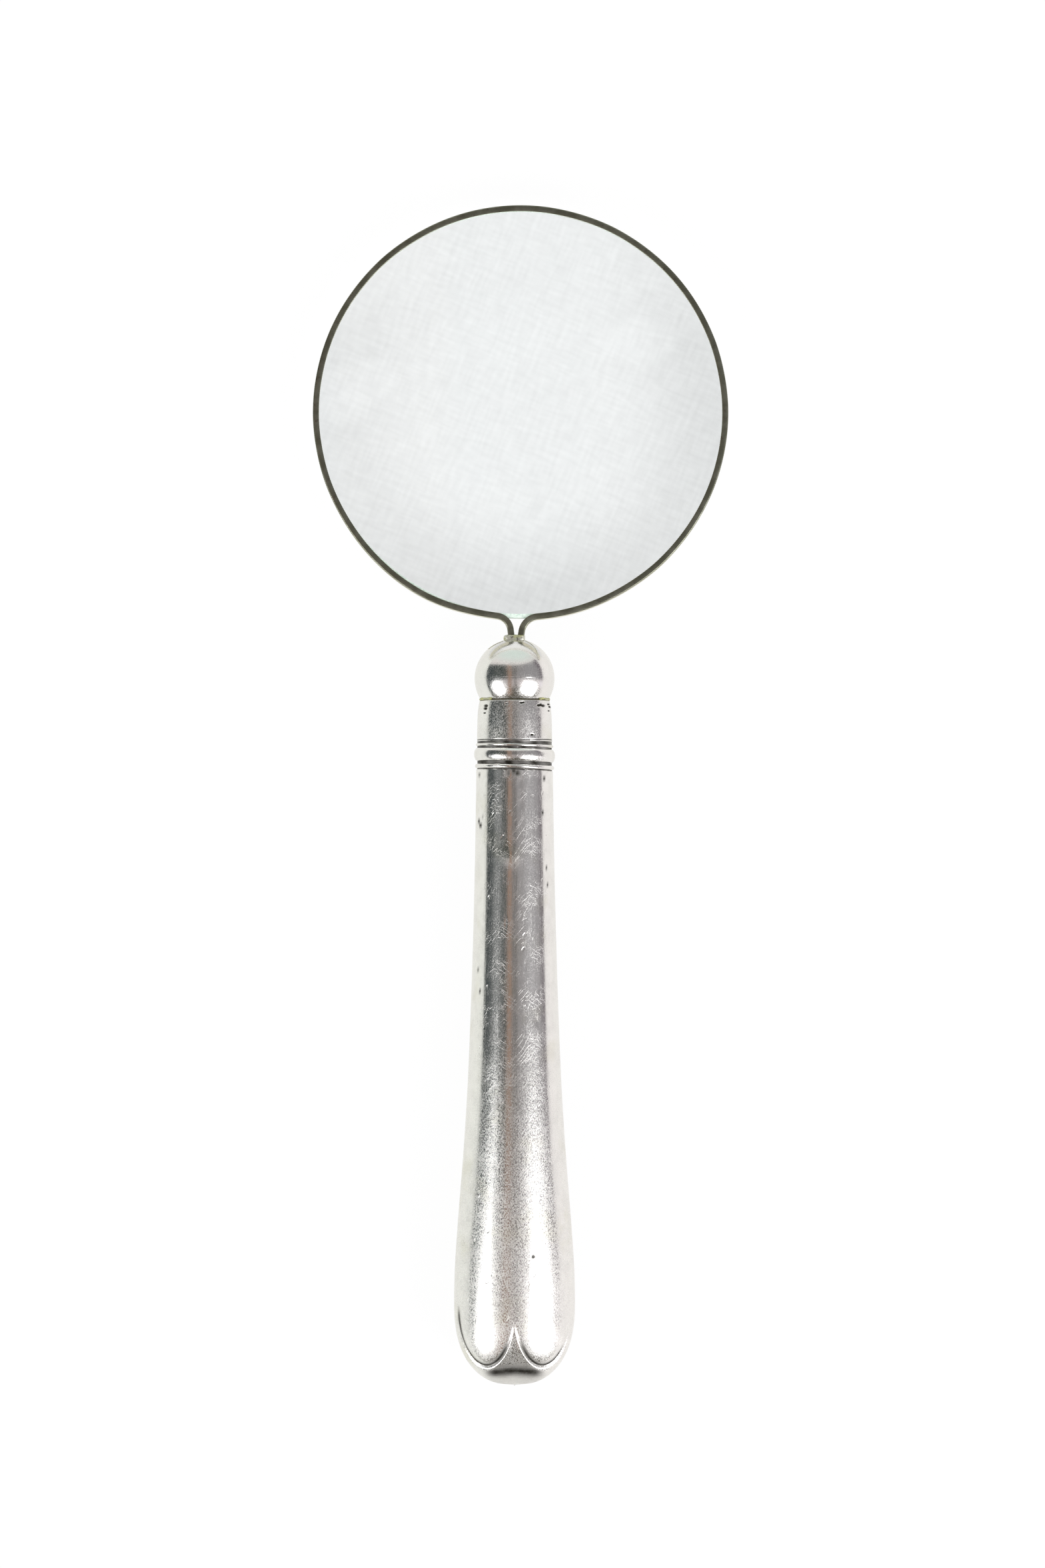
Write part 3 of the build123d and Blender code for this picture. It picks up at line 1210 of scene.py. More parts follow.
    def build_tang(self, solder: bpy.types.Material) -> None:
        """Forges the tang: a squared head on a rod that tapers inside the handle.

        Args:
            solder: What its head is coated with.
        """
        marks = self.marks
        deep = self.head_half[1]
        middle = Vector((marks.axis_x, marks.tang_top - deep + self.head_rise, marks.axis_z))
        head = lump(middle, self.head_half, power=6.0, roughness=0.035, seed=5)
        top, tip = marks.tang_top - 2 * deep, marks.tang_foot + self.rod_tip_gap
        corners = [(0.0, top), (self.rod_radius, top), (self.rod_radius, 0.0)]
        corners += [(self.rod_tip_radius, tip), (0.0, tip)]
        rod = turned(through(corners, 1.5), marks.on_axis(), 48, closed=False)
        tang = head.joined(rod).piece("tang_forging")
        dress(tang, solder)
        settle(tang, Body.HANDLE, "tang_steel", "tang")

    def build_solder(self, solder: bpy.types.Material) -> None:
        """Fills the tang's socket with solder, and lets some run down the ball.

        Args:
            solder: The solder.
        """
        marks = self.marks
        head = Vector((marks.axis_x, marks.tang_top, marks.axis_z))
        fill = lump(head + Vector((0.2, -0.42, 0.0)), (1.55, 0.36, 1.5), power=3.0, roughness=0.03, seed=21)
        left_end = lump(
            head + Vector((-1.85, -0.5, 0.3)), (0.16, 0.42, 0.8), power=2.4, roughness=0.03, seed=31
        )
        piece = fill.joined(left_end).piece("leg_solder_fill")
        dress(piece, solder)
        settle(piece, Body.HANDLE, "solder", "leg_solder")
        lines = []
        for start, end, bow in (((1.9, 6.85), (4.3, 4.0), 0.35), ((-2.1, 6.75), (-4.75, 5.35), -0.1)):
            share = np.linspace(0.0, 1.0, 24)
            x = start[0] + (end[0] - start[0]) * share + bow * np.sin(math.pi * share)
            y = start[1] + (end[1] - start[1]) * share + abs(bow) * np.sin(math.pi * share)
            z = np.sqrt(np.maximum(marks.ball_radius**2 - x * x - y * y, 0.01))
            lines.append((np.column_stack([marks.axis_x + x, marks.ball_y + y, marks.axis_z + z]), False))
        values = {"Bead Radius": self.run_radius, "Lump Height": 0.04, "Lump Length": 0.6}
        runs = run_of_solder(solder).follow("solder_runs", lines, values)
        settle(runs, Body.HANDLE, "solder")


@dataclass
class BallJoint:
    """The hollow ball, the solder under it and the ferrule that it sits on, closed by the CAD cap."""

    marks: Landmarks
    cap: bpy.types.Object
    ball_wall: float = 0.5
    rod_radius: float = 1.9
    bore: float = 5.8
    top_radius: float = 6.38
    shoulder: float = 1.9
    foot_radius: float = 6.87
    foot_roll: float = 0.22
    spigot_radius: float = 6.5
    spigot_length: float = 2.0
    bead_radius: float = 0.12
    bead_rise: float = 0.06
    bloom_radius: float = 0.22
    bloom_rise: float = 0.20
    bloom_turns: tuple[float, float] = (0.42, math.pi - 0.46)
    pit_depth: float = 0.10
    ferrule_pits: tuple[tuple[float, float, float], ...] = (
        (-5.20, 16.05, 0.50),
        (-5.30, 15.55, 0.45),
        (-5.45, 14.75, 0.28),
        (1.2, 16.55, 0.42),
        (1.6, 16.62, 0.38),
        (-1.5, 16.35, 0.30),
        (4.4, 16.12, 0.46),
        (4.8, 16.22, 0.50),
        (5.2, 16.08, 0.46),
        (6.2, 16.4, 0.32),
        (6.45, 15.95, 0.36),
        (6.25, 15.2, 0.24),
        (3.2, 10.75, 0.36),
    )

    def build(self) -> None:
        """Makes and dresses every piece of the joint."""
        self.build_ball(Silver("ball_silver", gloss=0.07, wear=0.5, scuffing=0.40).make())
        dark = Solder("ball_solder", (0.12, 0.11, 0.08), (0.08, 0.07, 0.04), (0.04, 0.035, 0.02))
        bloomed = Solder("solder_bloom", (0.50, 0.50, 0.34), (0.42, 0.42, 0.17), (0.10, 0.09, 0.05))
        self.build_bead(dark.make(), bloomed.make())
        self.build_ferrule(Silver("ferrule_silver", gloss=0.09, wear=0.9, scuffing=0.30).make())
        dress(self.cap, Silver("cap_silver").make())

    def ball_relief(self, points: np.ndarray) -> tuple[np.ndarray, np.ndarray]:
        """Slight hammering left in the ball, and dirt near its foot.

        Args:
            points: Points of the ball about the y axis.

        Returns:
            How far each point moves outwards and how dirty it is.
        """
        rise = 0.016 * ripple(points, 7.0, 11) + 0.005 * ripple(points, 2.2, 12)
        foot = step(points[..., 1], self.marks.seat_y + 0.45, self.marks.seat_y + 0.1)
        patchy = 0.5 + 0.5 * ripple(points, 1.4, 13)
        return rise, foot * np.clip(patchy, 0.1, 1.0)

    def build_ball(self, silver: bpy.types.Material) -> None:
        """Raises the two halves of the ball.

        Args:
            silver: The ball's material.
        """
        marks = self.marks
        outer, inner = marks.ball_radius, marks.ball_radius - self.ball_wall
        hole = math.degrees(math.acos(self.rod_radius / outer))
        hole_inside = math.degrees(math.acos(self.rod_radius / inner))
        top = arc(marks.ball_y, outer, hole, 0, 90) + arc(marks.ball_y, inner, 0, hole_inside, 60)
        seat = math.degrees(math.asin((marks.seat_y - marks.ball_y) / outer))
        seat_inside = math.degrees(math.asin((marks.seat_y - marks.ball_y) / inner))
        foot = arc(marks.ball_y, outer, 0, seat, 48) + arc(marks.ball_y, inner, seat_inside, 0, 24)
        for name, outline, node in (
            ("ball_top_half", top, "ball_upper_shell"),
            ("ball_bottom_half", foot, "ball_lower_shell"),
        ):
            half = turned(outline, marks.on_axis(), 288, self.ball_relief).piece(name)
            dress(half, silver)
            settle(half, Body.HANDLE, "ball_silver", node)

    def build_bead(self, solder: bpy.types.Material, bloomed: bpy.types.Material) -> None:
        """Runs the bead of solder round the foot of the ball.

        Args:
            solder: The bead's material.
            bloomed: The greenish solder that has gathered on its two sides.
        """
        radius = self.top_radius - self.bead_radius - 0.05
        whole = np.arange(220) * 2 * math.pi / 220
        circle = self.round_the_seat(whole, radius, self.bead_rise)
        values = {"Bead Radius": self.bead_radius, "Lump Height": 0.10, "Lump Length": 1.3}
        bead = run_of_solder(solder).follow("ball_solder_bead", [(circle, True)], values)
        settle(bead, Body.HANDLE, "solder", "ball_solder")
        sides = []
        for middle_turn in self.bloom_turns:
            turns = middle_turn + np.linspace(-0.40, 0.36, 40)
            sides.append((self.round_the_seat(turns, radius + 0.02, self.bloom_rise), False))
        values = {"Bead Radius": self.bloom_radius, "Lump Height": 0.20, "Lump Length": 0.6}
        bloom = run_of_solder(bloomed).follow("ball_solder_bloom", sides, values)
        settle(bloom, Body.HANDLE, "solder")

    def round_the_seat(self, turns: np.ndarray, radius: float, rise: float) -> np.ndarray:
        """A path round the foot of the ball.

        Args:
            turns: The angle of each point about the handle's axis.
            radius: How far the path is from that axis.
            rise: How far it is above the ball's seat.

        Returns:
            The points of the path.
        """
        marks = self.marks
        x = marks.axis_x + radius * np.cos(turns)
        z = marks.axis_z + radius * np.sin(turns)
        return np.column_stack([x, np.full(len(turns), marks.seat_y + rise), z])

    def ferrule_relief(self, points: np.ndarray) -> tuple[np.ndarray, np.ndarray]:
        """Dents, pits and dirt of the ferrule.

        Args:
            points: Points of the ferrule about the y axis.

        Returns:
            How far each point moves outwards and how dirty it is.
        """
        x, y, z = points[..., 0], points[..., 1], points[..., 2]
        rise = 0.014 * ripple(points, 5.0, 41, 3.0) + 0.004 * ripple(points, 1.6, 42, 2.0) - 0.02
        grime_and_shade = 0.9 * step(y, self.marks.mouth_y + 0.28, self.marks.mouth_y + 0.04)
        grime_and_shade = np.maximum(grime_and_shade, 0.55 * step(y, self.marks.seat_y - 0.18, self.marks.seat_y))
        for place_x, place_y, size in self.ferrule_pits:
            away = np.hypot(x - place_x, (y - place_y) * 1.3)
            spot = np.where(z > 0, step(away, size, size * 0.45), 0.0)
            rise = rise - self.pit_depth * spot
            grime_and_shade = np.maximum(grime_and_shade, spot)
        return rise, grime_and_shade

    def build_ferrule(self, silver: bpy.types.Material) -> None:
        """Turns the bevelled ferrule with its spigot.

        Args:
            silver: The ferrule's material.
        """
        marks = self.marks
        foot = marks.mouth_y
        outside = [(self.bore + 0.1, marks.seat_y), (self.top_radius - 0.12, marks.seat_y)]
        widening = self.foot_radius - self.top_radius
        for drop in np.linspace(0.12, marks.seat_y - foot - self.foot_roll, 40).tolist():
            swell = 1 - math.exp(-drop / self.shoulder)
            outside.append((self.top_radius + widening * swell, marks.seat_y - drop))
        outside += [(self.foot_radius - 0.05, foot + self.foot_roll * 0.4), (self.foot_radius - 0.14, foot)]
        inside = [(self.spigot_radius, foot), (self.spigot_radius, foot - self.spigot_length)]
        inside += [(self.bore, foot - self.spigot_length), (self.bore, marks.seat_y)]
        outline = through(outside, 0.11)[:-1] + through(inside, 1.0)
        ferrule = turned(outline, marks.on_axis(), 300, self.ferrule_relief).piece("ferrule_tube")
        dress(ferrule, silver)
        settle(ferrule, Body.HANDLE, "ferrule_silver", "ferrule")


@dataclass
class Handle:
    """The two stamped silver halves of the handle, lobed at the butt, round the CAD's pitch filling."""

    marks: Landmarks
    filling: bpy.types.Object
    wall: float = 0.45
    columns: int = 204
    inner_columns: int = 24
    body_top: float = 4.5
    mouth_radius: float = 6.55
    stations: tuple[tuple[float, float, float], ...] = (
        (4.5, 7.00, 1.00),
        (-13.0, 7.29, 1.00),
        (-37.5, 7.96, 1.00),
        (-55.0, 8.70, 1.00),
        (-66.5, 9.45, 0.97),
        (-79.0, 10.43, 0.915),
        (-87.0, 10.92, 0.886),
        (-92.0, 11.02, 0.88),
    )
    beads: tuple[tuple[float, float, float], ...] = (
        (9.18, 8.68, 7.06),
        (8.34, 5.98, 7.38),
        (5.44, 4.62, 7.22),
    )
    groove_floor: float = 6.78
    lip_radius: float = 6.87
    ring_slope: float = 0.026
    butt_power: float = 2.6
    lobe_middle: float = 5.22
    lobe_top: float = -92.7
    lobe_length: float = 10.8
    lobe_depth: float = 0.42
    lobe_roll: float = 1.4
    lobe_wall: float = 0.32
    knob_flat: float = 0.65
    marks_and_dents: tuple[tuple[float, float, float, float], ...] = (
        (-0.5, -11.2, 1.7, 0.20),
        (-2.8, -9.2, 0.35, -0.05),
        (-2.9, -11.4, 0.25, -0.05),
        (1.5, -12.7, 0.22, -0.05),
        (2.8, -15.3, 0.25, -0.04),
        (4.7, -35.4, 0.40, -0.08),
        (4.1, -41.2, 0.36, -0.10),
        (3.1, -44.5, 0.30, -0.08),
        (4.6, -53.7, 0.34, -0.08),
        (-1.6, -23.4, 0.26, -0.06),
        (2.0, -31.0, 0.24, -0.06),
        (-3.5, -66.6, 0.35, -0.05),
        (2.4, -88.9, 0.35, -0.04),
        (-2.2, -24.5, 0.40, -0.03),
        (1.0, 2.1, 0.60, -0.09),
        (1.1, 0.2, 0.60, -0.09),
        (1.1, -1.8, 0.60, -0.10),
    )
    stains: tuple[tuple[float, float, float], ...] = (
        (-6.4, 3.3, 0.55),
        (-5.8, -3.8, 0.45),
        (-6.5, -4.8, 0.40),
        (-6.2, -5.7, 0.50),
        (5.4, 2.9, 0.45),
        (5.5, 1.6, 0.35),
        (5.1, -3.4, 0.40),
        (6.0, -16.3, 0.35),
        (5.8, -13.4, 0.30),
        (-6.65, -31.6, 0.45),
        (-6.3, -35.6, 0.35),
        (7.3, -60.0, 0.30),
    )
    stain_strength: float = 0.9
    outline_steps: int = 4000

    def build(self) -> None:
        """Makes and dresses both halves and the pitch inside them."""
        silver = Silver("handle_silver").make()
        for name, node, start in (
            ("handle_front_half", "shell_front", 0.0),
            ("handle_back_half", "shell_back", math.pi),
        ):
            half = self.half(start).piece(name)
            dress(half, silver)
            settle(half, Body.HANDLE, "handle_silver", node)
        dress(self.filling, Pitch("handle_pitch").make())

    def outline(self) -> tuple[np.ndarray, np.ndarray, np.ndarray]:
        """Rows of the handle from its mouth to the tip of its butt.

        Returns:
            Half width, y and thickness over width of each row.
        """
        belly_y, belly, ratio = self.stations[-1]
        knots = [-station[0] for station in self.stations]
        tube_y = np.linspace(self.marks.mouth_y, belly_y, self.outline_steps)
        fall = -np.minimum(tube_y, self.body_top)
        width = smooth_through(knots, [station[1] for station in self.stations], fall)
        depth = smooth_through(knots, [station[2] for station in self.stations], fall)
        quarter = math.pi / 2
        turn = np.linspace(0, quarter, self.outline_steps)[1:] ** 1.3 / quarter**0.3
        butt_y = belly_y - (belly_y - self.marks.butt_y) * np.sin(turn) ** (2 / self.butt_power)
        y = np.append(tube_y, butt_y)
        r = np.append(width, belly * np.cos(turn))
        k = np.append(depth, np.full(len(turn), ratio))
        run = np.hypot(np.gradient(y), np.gradient(r))
        density = 1.3 + 12.0 * step(y, 4.0, 4.4) + 6.2 * step(y, -89.0, -91.5)
        total = np.cumsum(run * density)
        rows, index = int(total[-1]), np.arange(len(y))
        places = np.interp(np.arange(rows + 1) / rows * total[-1], total, index)
        return tuple(np.interp(places, index, values) for values in (r, y, k))

    def moulding(self, x: np.ndarray, y: np.ndarray, r: np.ndarray) -> tuple[np.ndarray, np.ndarray]:
        """Height and dirt of the rings, which lean a little.

        Args:
            x: Distance of each point from the handle's axis, across it.
            y: Height of each point.
            r: Radius of the plain handle there.

        Returns:
            How far each point moves outwards and how dirty it is.
        """
        leaning = y + self.ring_slope * x * step(y, 9.8, 9.3)
        zone = step(leaning, 4.40, 4.50)
        radius = np.full(y.shape, self.groove_floor)
        for top, foot, crest in self.beads:
            along = np.clip((leaning - (top + foot) / 2) / ((top - foot) / 2), -1, 1)
            bulge = (crest - self.groove_floor) * np.sqrt(1 - along**2)
            radius = np.maximum(radius, self.groove_floor + bulge)
        lip = step(leaning, 9.64, 9.72)
        radius = radius * (1 - lip) + self.lip_radius * lip
        dirty = step(radius - self.groove_floor, 0.10, 0.01)
        patchy = 0.84 + 0.14 * np.sin(1.9 * x + 0.8) * np.sin(0.7 * x + 2.0 * y)
        return (radius - r) * zone, dirty * zone * patchy

    def lobes(self, x: np.ndarray, y: np.ndarray, facing: np.ndarray) -> tuple[np.ndarray, np.ndarray]:
        """Height of the groove round the two lobes of the butt, with tarnishing and painted shade in it,
        and a darker band on the knob.

        Args:
            x: Distance of each point from the handle's axis, across it.
            y: Height of each point.
            facing: One on the middle line of each side, zero on the seams.

        Returns:
            How far each point moves outwards, and its dirt and painted shade.
        """
        u = (np.abs(x) - self.lobe_middle) / self.lobe_middle
        v = np.minimum(y - self.lobe_top, 0.0) / self.lobe_length
        size = np.sqrt(u * u + v * v) + 1e-6
        slope = np.sqrt((u / self.lobe_middle) ** 2 + (v / self.lobe_length) ** 2) / size + 1e-6
        away = (size - 1) / slope
        low = step(y, -97.5, -103.0)
        width = self.lobe_roll * (0.22 + 0.78 * low)
        roll = np.clip((away + width) / width, 0, 1)
        wall = np.clip(away / (self.lobe_wall * (0.60 + 0.40 * low)), 0, 1)
        depth = np.where(away < 0, 1 - np.sqrt(1 - roll**2 * 0.999), (1 - wall) ** 1.2)
        fade = 0.20 * step(y, -95.0, -96.4) + 0.40 * step(y, -96.0, -99.0) + 0.4 * low
        flat = self.knob_flat * (np.exp(-((x / 3.6) ** 2)) - 0.55 * facing) * step(away, 0.1, 0.9) * low
        outer = np.where(x < 0, step(y, -92.0, -95.0), step(y, -99.0, -101.5))
        start = np.where(np.abs(x) > self.lobe_middle, outer, step(y, -97.5, -101.0))
        spread = 0.36 - 0.16 * step(np.abs(x), 6.0, 9.0)
        # Dark band just inside the groove: tarnishing plus painted shade where the groove's walls shade
        # each other.
        grime_and_shade = 0.95 * np.exp(-(((away + 0.30) / spread) ** 2)) * start
        # Darker over the lower part of the knob, most of all in a band near y -104.35.
        knob = step(np.abs(x), 6.0, 3.5) * step(away, 0.3, 0.9)
        hollow = (0.78 * np.exp(-(((y + 104.35) / 0.95) ** 2)) + 0.16 * low) * knob
        return -self.lobe_depth * depth * fade - flat, np.maximum(grime_and_shade, hollow)

    def surface(
        self, r: np.ndarray, y: np.ndarray, ratio: np.ndarray, angle: np.ndarray, inset: float
    ) -> tuple[np.ndarray, np.ndarray]:
        """Points of the outside, or of the inside a wall's thickness below it.

        Args:
            r: Half width of each row.
            y: Height of each row.
            ratio: Thickness over width of each row.
            angle: Angle of each column.
            inset: Distance below the outside.

        Returns:
            The points of the grid, and each one's dirt and painted shade.
        """
        power = 2.0 + 0.5 * step(y, -93.0, -104.0)[:, None]
        square = (np.abs(np.cos(angle)) ** power + np.abs(np.sin(angle)) ** power) ** (-1 / power)
        x = r[:, None] * np.cos(angle)[None] * square
        z = (r * ratio)[:, None] * np.sin(angle)[None] * square
        high = np.broadcast_to(y[:, None], x.shape)
        plain = np.stack([x, high, z], axis=-1)
        lean = np.arctan(np.gradient(r) / (np.gradient(y) + LEAST_RUN))
        lean[-1] = -math.pi / 2 if lean[-1] < 0 else math.pi / 2
        level = np.cos(lean)[:, None]
        out_x, out_z = level * np.cos(angle)[None], level * np.sin(angle)[None]
        out_y = np.broadcast_to(-np.sin(lean)[:, None], x.shape)
        outward = np.stack([out_x, out_y, out_z], axis=-1)
        rings, ring_dirt = self.moulding(x, high, r[:, None])
        lobes, lobe_dirt_and_shade = self.lobes(x, high, np.abs(np.sin(angle))[None])
        body = step(high, 4.4, 3.2) * step(high, self.marks.butt_y, self.marks.butt_y + 3.0)
        uneven = 0.014 * ripple(plain, 16.0, 71, 2.5) + 0.0028 * ripple(plain, 5.0, 72, 3.0)
        uneven += 0.0008 * ripple(plain, 1.7, 73, 2.5)
        rise = rings + lobes + body * (uneven - 0.03)
        # Dirt in the rings' grooves, and the lobes' dirt and painted shade.
        grime_and_shade = np.maximum(ring_dirt, lobe_dirt_and_shade)
        for place_x, place_y, size, height in self.marks_and_dents:
            away = np.hypot(x - place_x, high - place_y) / size
            rise = rise + np.where(z > 0, height * np.exp(-(away**2) * 1.5), 0.0)
        for place_x, place_y, size in self.stains:
            away = np.hypot((x - place_x) * 1.5, high - place_y) / size
            spot = self.stain_strength * step(away, 1.0, 0.4)
            grime_and_shade = np.maximum(grime_and_shade, np.where(z > 0, spot, 0.0))
        under = np.where(z > 0, step(np.hypot((x + 0.1) / 2.4, (high - 3.8) / 1.2), 1.0, 0.2), 0.0)
        grime_and_shade = np.maximum(grime_and_shade, under * np.clip(0.55 + 1.1 * ripple(plain, 1.1, 75), 0, 1))
        if inset:
            rise = rise * (high < self.body_top) - inset
        points = plain + outward * rise[..., None]
        if inset:
            mouth = high >= self.body_top
            for axis, part in ((0, np.cos(angle)), (2, np.sin(angle))):
                points[..., axis] = np.where(mouth, self.mouth_radius * part[None], points[..., axis])
            points[0, :, 1] = y[0]
        return points, grime_and_shade

    def half(self, start: float) -> Shape:
        """One stamped half: an outside, an inside, two seam edges and the mouth.

        Args:
            start: Angle of its first edge.

        Returns:
            The shape.
        """
        r, y, ratio = (v[:-1] for v in self.outline())
        rows = len(r)
        even = np.linspace(0, math.pi, self.columns + 1)
        outer_angle = start + even + 0.20 * np.sin(2 * even)
        inner_angle = start + np.linspace(0, math.pi, self.inner_columns + 1)
        outer, grime_and_shade = self.surface(r, y, ratio, outer_angle, 0.0)
        inner, _ = self.surface(r, y, ratio, inner_angle, self.wall)
        wide, narrow = self.columns + 1, self.inner_columns + 1
        tips = np.array([(0.0, self.marks.butt_y, 0.0), (0.0, self.marks.butt_y + self.wall, 0.0)])
        points = np.vstack([outer.reshape(-1, 3), inner.reshape(-1, 3), tips])
        # The outside's dirt and painted shade; the inside has none.
        dirt = np.concatenate([grime_and_shade.reshape(-1), np.zeros(rows * narrow + 2)])
        base, outer_tip = rows * wide, rows * (wide + narrow)
        inner_tip = outer_tip + 1
        faces = grid_faces(rows, wide, around=False)
        faces += [tuple(base + i for i in face[::-1]) for face in grid_faces(rows, narrow, around=False)]
        last = (rows - 1) * wide
        faces += [(outer_tip, last + c, last + c + 1) for c in range(self.columns)]
        last = base + (rows - 1) * narrow
        faces += [(inner_tip, last + c + 1, last + c) for c in range(self.inner_columns)]
        for column_out, column_in, flip in ((0, 0, False), (self.columns, self.inner_columns, True)):
            edge = [row * wide + column_out for row in range(rows)] + [outer_tip]
            lining = [base + row * narrow + column_in for row in range(rows)] + [inner_tip]
            for i in range(rows):
                quad = (edge[i], edge[i + 1], lining[i + 1], lining[i])
                faces.append(quad[::-1] if flip else quad)
        k = 0
        for c in range(self.columns):
            faces.append((c, base + k, c + 1))
            if (c + 1) * self.inner_columns >= (k + 1) * self.columns:
                faces.append((c + 1, base + k, base + k + 1))
                k += 1
        offset = np.array([self.marks.axis_x, 0.0, self.marks.axis_z])
        return Shape(points + offset, faces, dirt)


# ---------------------------------------------------------------- studio


@dataclass(frozen=True)
class Softbox:
    """One lit cloth: the way to it from the glass, its size in metres and its turn in degrees."""

    name: str
    way: tuple[float, float, float]
    width: float
    height: float
    spin: float


@dataclass
class Studio:
    """The table top, the room that the silver mirrors, two softboxes and the camera."""

    marks: Landmarks
    softboxes: tuple[Softbox, ...] = (
        Softbox("softbox_left", (-0.705, -0.425, 0.568), 0.42, 0.54, 20.0),
        Softbox("softbox_right", (0.655, -0.437, 0.615), 0.62, 0.54, -4.0),
    )
    distance: float = 0.9
    frame_height: float = 0.2858
    aim: tuple[float, float] = (0.00035, 0.00194)
    sensor: float = 36.0
    lamp_distance: float = 0.75
    lamp_radiance: float = 6.2
    lamp_fade: float = 0.55
    belly_y: float = -90.0
    table_reach: float = 6.0
    table_gap: float = 0.00015
    table_level: float = 0.93
    matt_share: float = 0.06
    weave_turn: float = 22.0
    # Painted pale highlights under the lens: middle x and y from the lens's centre, half width and half
    # height, in millimetres.
    painted_lens_highlights: tuple[tuple[float, float, float, float], ...] = (
        (-28.5, 6.5, 8.0, 5.0),
        (-31.0, 1.5, 6.0, 3.5),
        (21.0, 13.5, 8.5, 5.5),
    )

    def __post_init__(self) -> None:
        """Works out how the table top lies under the handle and the ball."""
        rest_far = Vector((0.0, self.marks.ball_y, self.marks.axis_z - self.marks.ball_radius)) * MM
        rest_near = Vector((0.0, self.belly_y, 0.0)) * MM
        slope = (rest_far.z - rest_near.z) / (rest_far.y - rest_near.y)
        self.up = Vector((0.0, -slope, 1.0)).normalized()
        self.rest = rest_near

    def build(self) -> None:
        """Makes the whole studio."""
        self.build_table()
        self.build_room()
        self.build_lamps()
        self.build_camera()

    def build_table(self) -> None:
        """Lays a plain pale table top that touches the belly of the handle and the ball."""
        tilt = Vector((0, 0, 1)).rotation_difference(self.up).to_matrix().to_4x4()
        mesh = bpy.data.meshes.new("table_top")
        reach = self.table_reach
        corners = [(-reach, -reach, 0), (reach, -reach, 0), (reach, reach, 0), (-reach, reach, 0)]
        mesh.from_pydata(corners, [], [(0, 1, 2, 3)])
        mesh.transform(Matrix.Translation(self.rest - self.up * self.table_gap) @ tilt)
        table = place_mesh("table_top", mesh)
        dress(table, self.table_cloth())

    def table_cloth(self) -> bpy.types.Material:
        """Plain white cloth, a little tinted in what mirrors it. Under the lens it has a faint woven
        texture, painted shade towards the lens's edge, bottom and right, and painted pale highlights.

        Returns:
            The material.
        """
        material = bpy.data.materials.new("table_cloth")
        material.use_nodes = True
        graph = Graph(material.node_tree)
        place = graph.object_place()
        parts = graph.node("ShaderNodeSeparateXYZ", None, {0: place})
        x, y = Wire(graph, parts.outputs[0]), Wire(graph, parts.outputs[1])
        sees = graph.node("ShaderNodeLightPath")
        direct = Wire(graph, sees.outputs["Is Camera Ray"])
        turn = (0, 0, self.weave_turn)
        warp = graph.noise(graph.turned_place(turn, (1250.0, 190.0, 1.0)), 1.0, 1.0)
        weft = graph.noise(graph.turned_place(turn, (260.0, 1300.0, 1.0)), 1.0, 1.0)
        mottle = graph.noise(place, 60.0, 3.0)
        lens = self.marks.lens * MM
        away = ((x - lens.x) ** 2.0 + (y - lens.y) ** 2.0) ** 0.5
        # Painted shade under the lens: darker towards its bottom and its right.
        low = (y - lens.y).rise(-0.012, -0.036)
        right = (x - lens.x).rise(0.010, 0.036)
        weave_and_painted_light = (warp + weft - 1.0) * 0.13 + (mottle - 0.5) * 0.05 - low * 0.072 - right * 0.055
        # More painted shade towards the lens's edge, fading out at its top.
        upper = (y - lens.y).rise(0.010, 0.028)
        weave_and_painted_light = weave_and_painted_light - away.rise(0.016, 0.033) * (1.0 - upper * 0.8) * 0.095
        # Painted pale highlights under the lens: soft reflections painted into what shows through it.
        for patch_x, patch_y, wide, tall in self.painted_lens_highlights:
            u = (x - (lens.x + patch_x * MM)) / (wide * MM)
            v = (y - (lens.y + patch_y * MM)) / (tall * MM)
            weave_and_painted_light = weave_and_painted_light + (u * u + v * v).rise(1.0, 0.1) * 0.055
        under_lens = away.rise(0.0372, 0.0366)
        tint = graph.mix(x.rise(-0.05, 0.05), (0.80, 0.815, 0.765), (0.845, 0.82, 0.805))
        cloth = graph.mix(under_lens, tint, (0.836, 0.847, 0.852))
        level = 1.0 + weave_and_painted_light * under_lens
        strength = level * (1.0 - direct) + direct * self.table_level
        seen = graph.mix(direct, cloth, (1.0, 1.0, 1.0))
        glow = graph.node("ShaderNodeEmission", None, {"Color": seen, "Strength": strength})
        matt = graph.node("ShaderNodeBsdfDiffuse", None, {"Color": (self.matt_share,) * 3})
        both = graph.node("ShaderNodeAddShader", None, {0: glow.outputs[0], 1: matt.outputs[0]})
        graph.node("ShaderNodeOutputMaterial", None, {"Surface": both.outputs[0]})
        return material

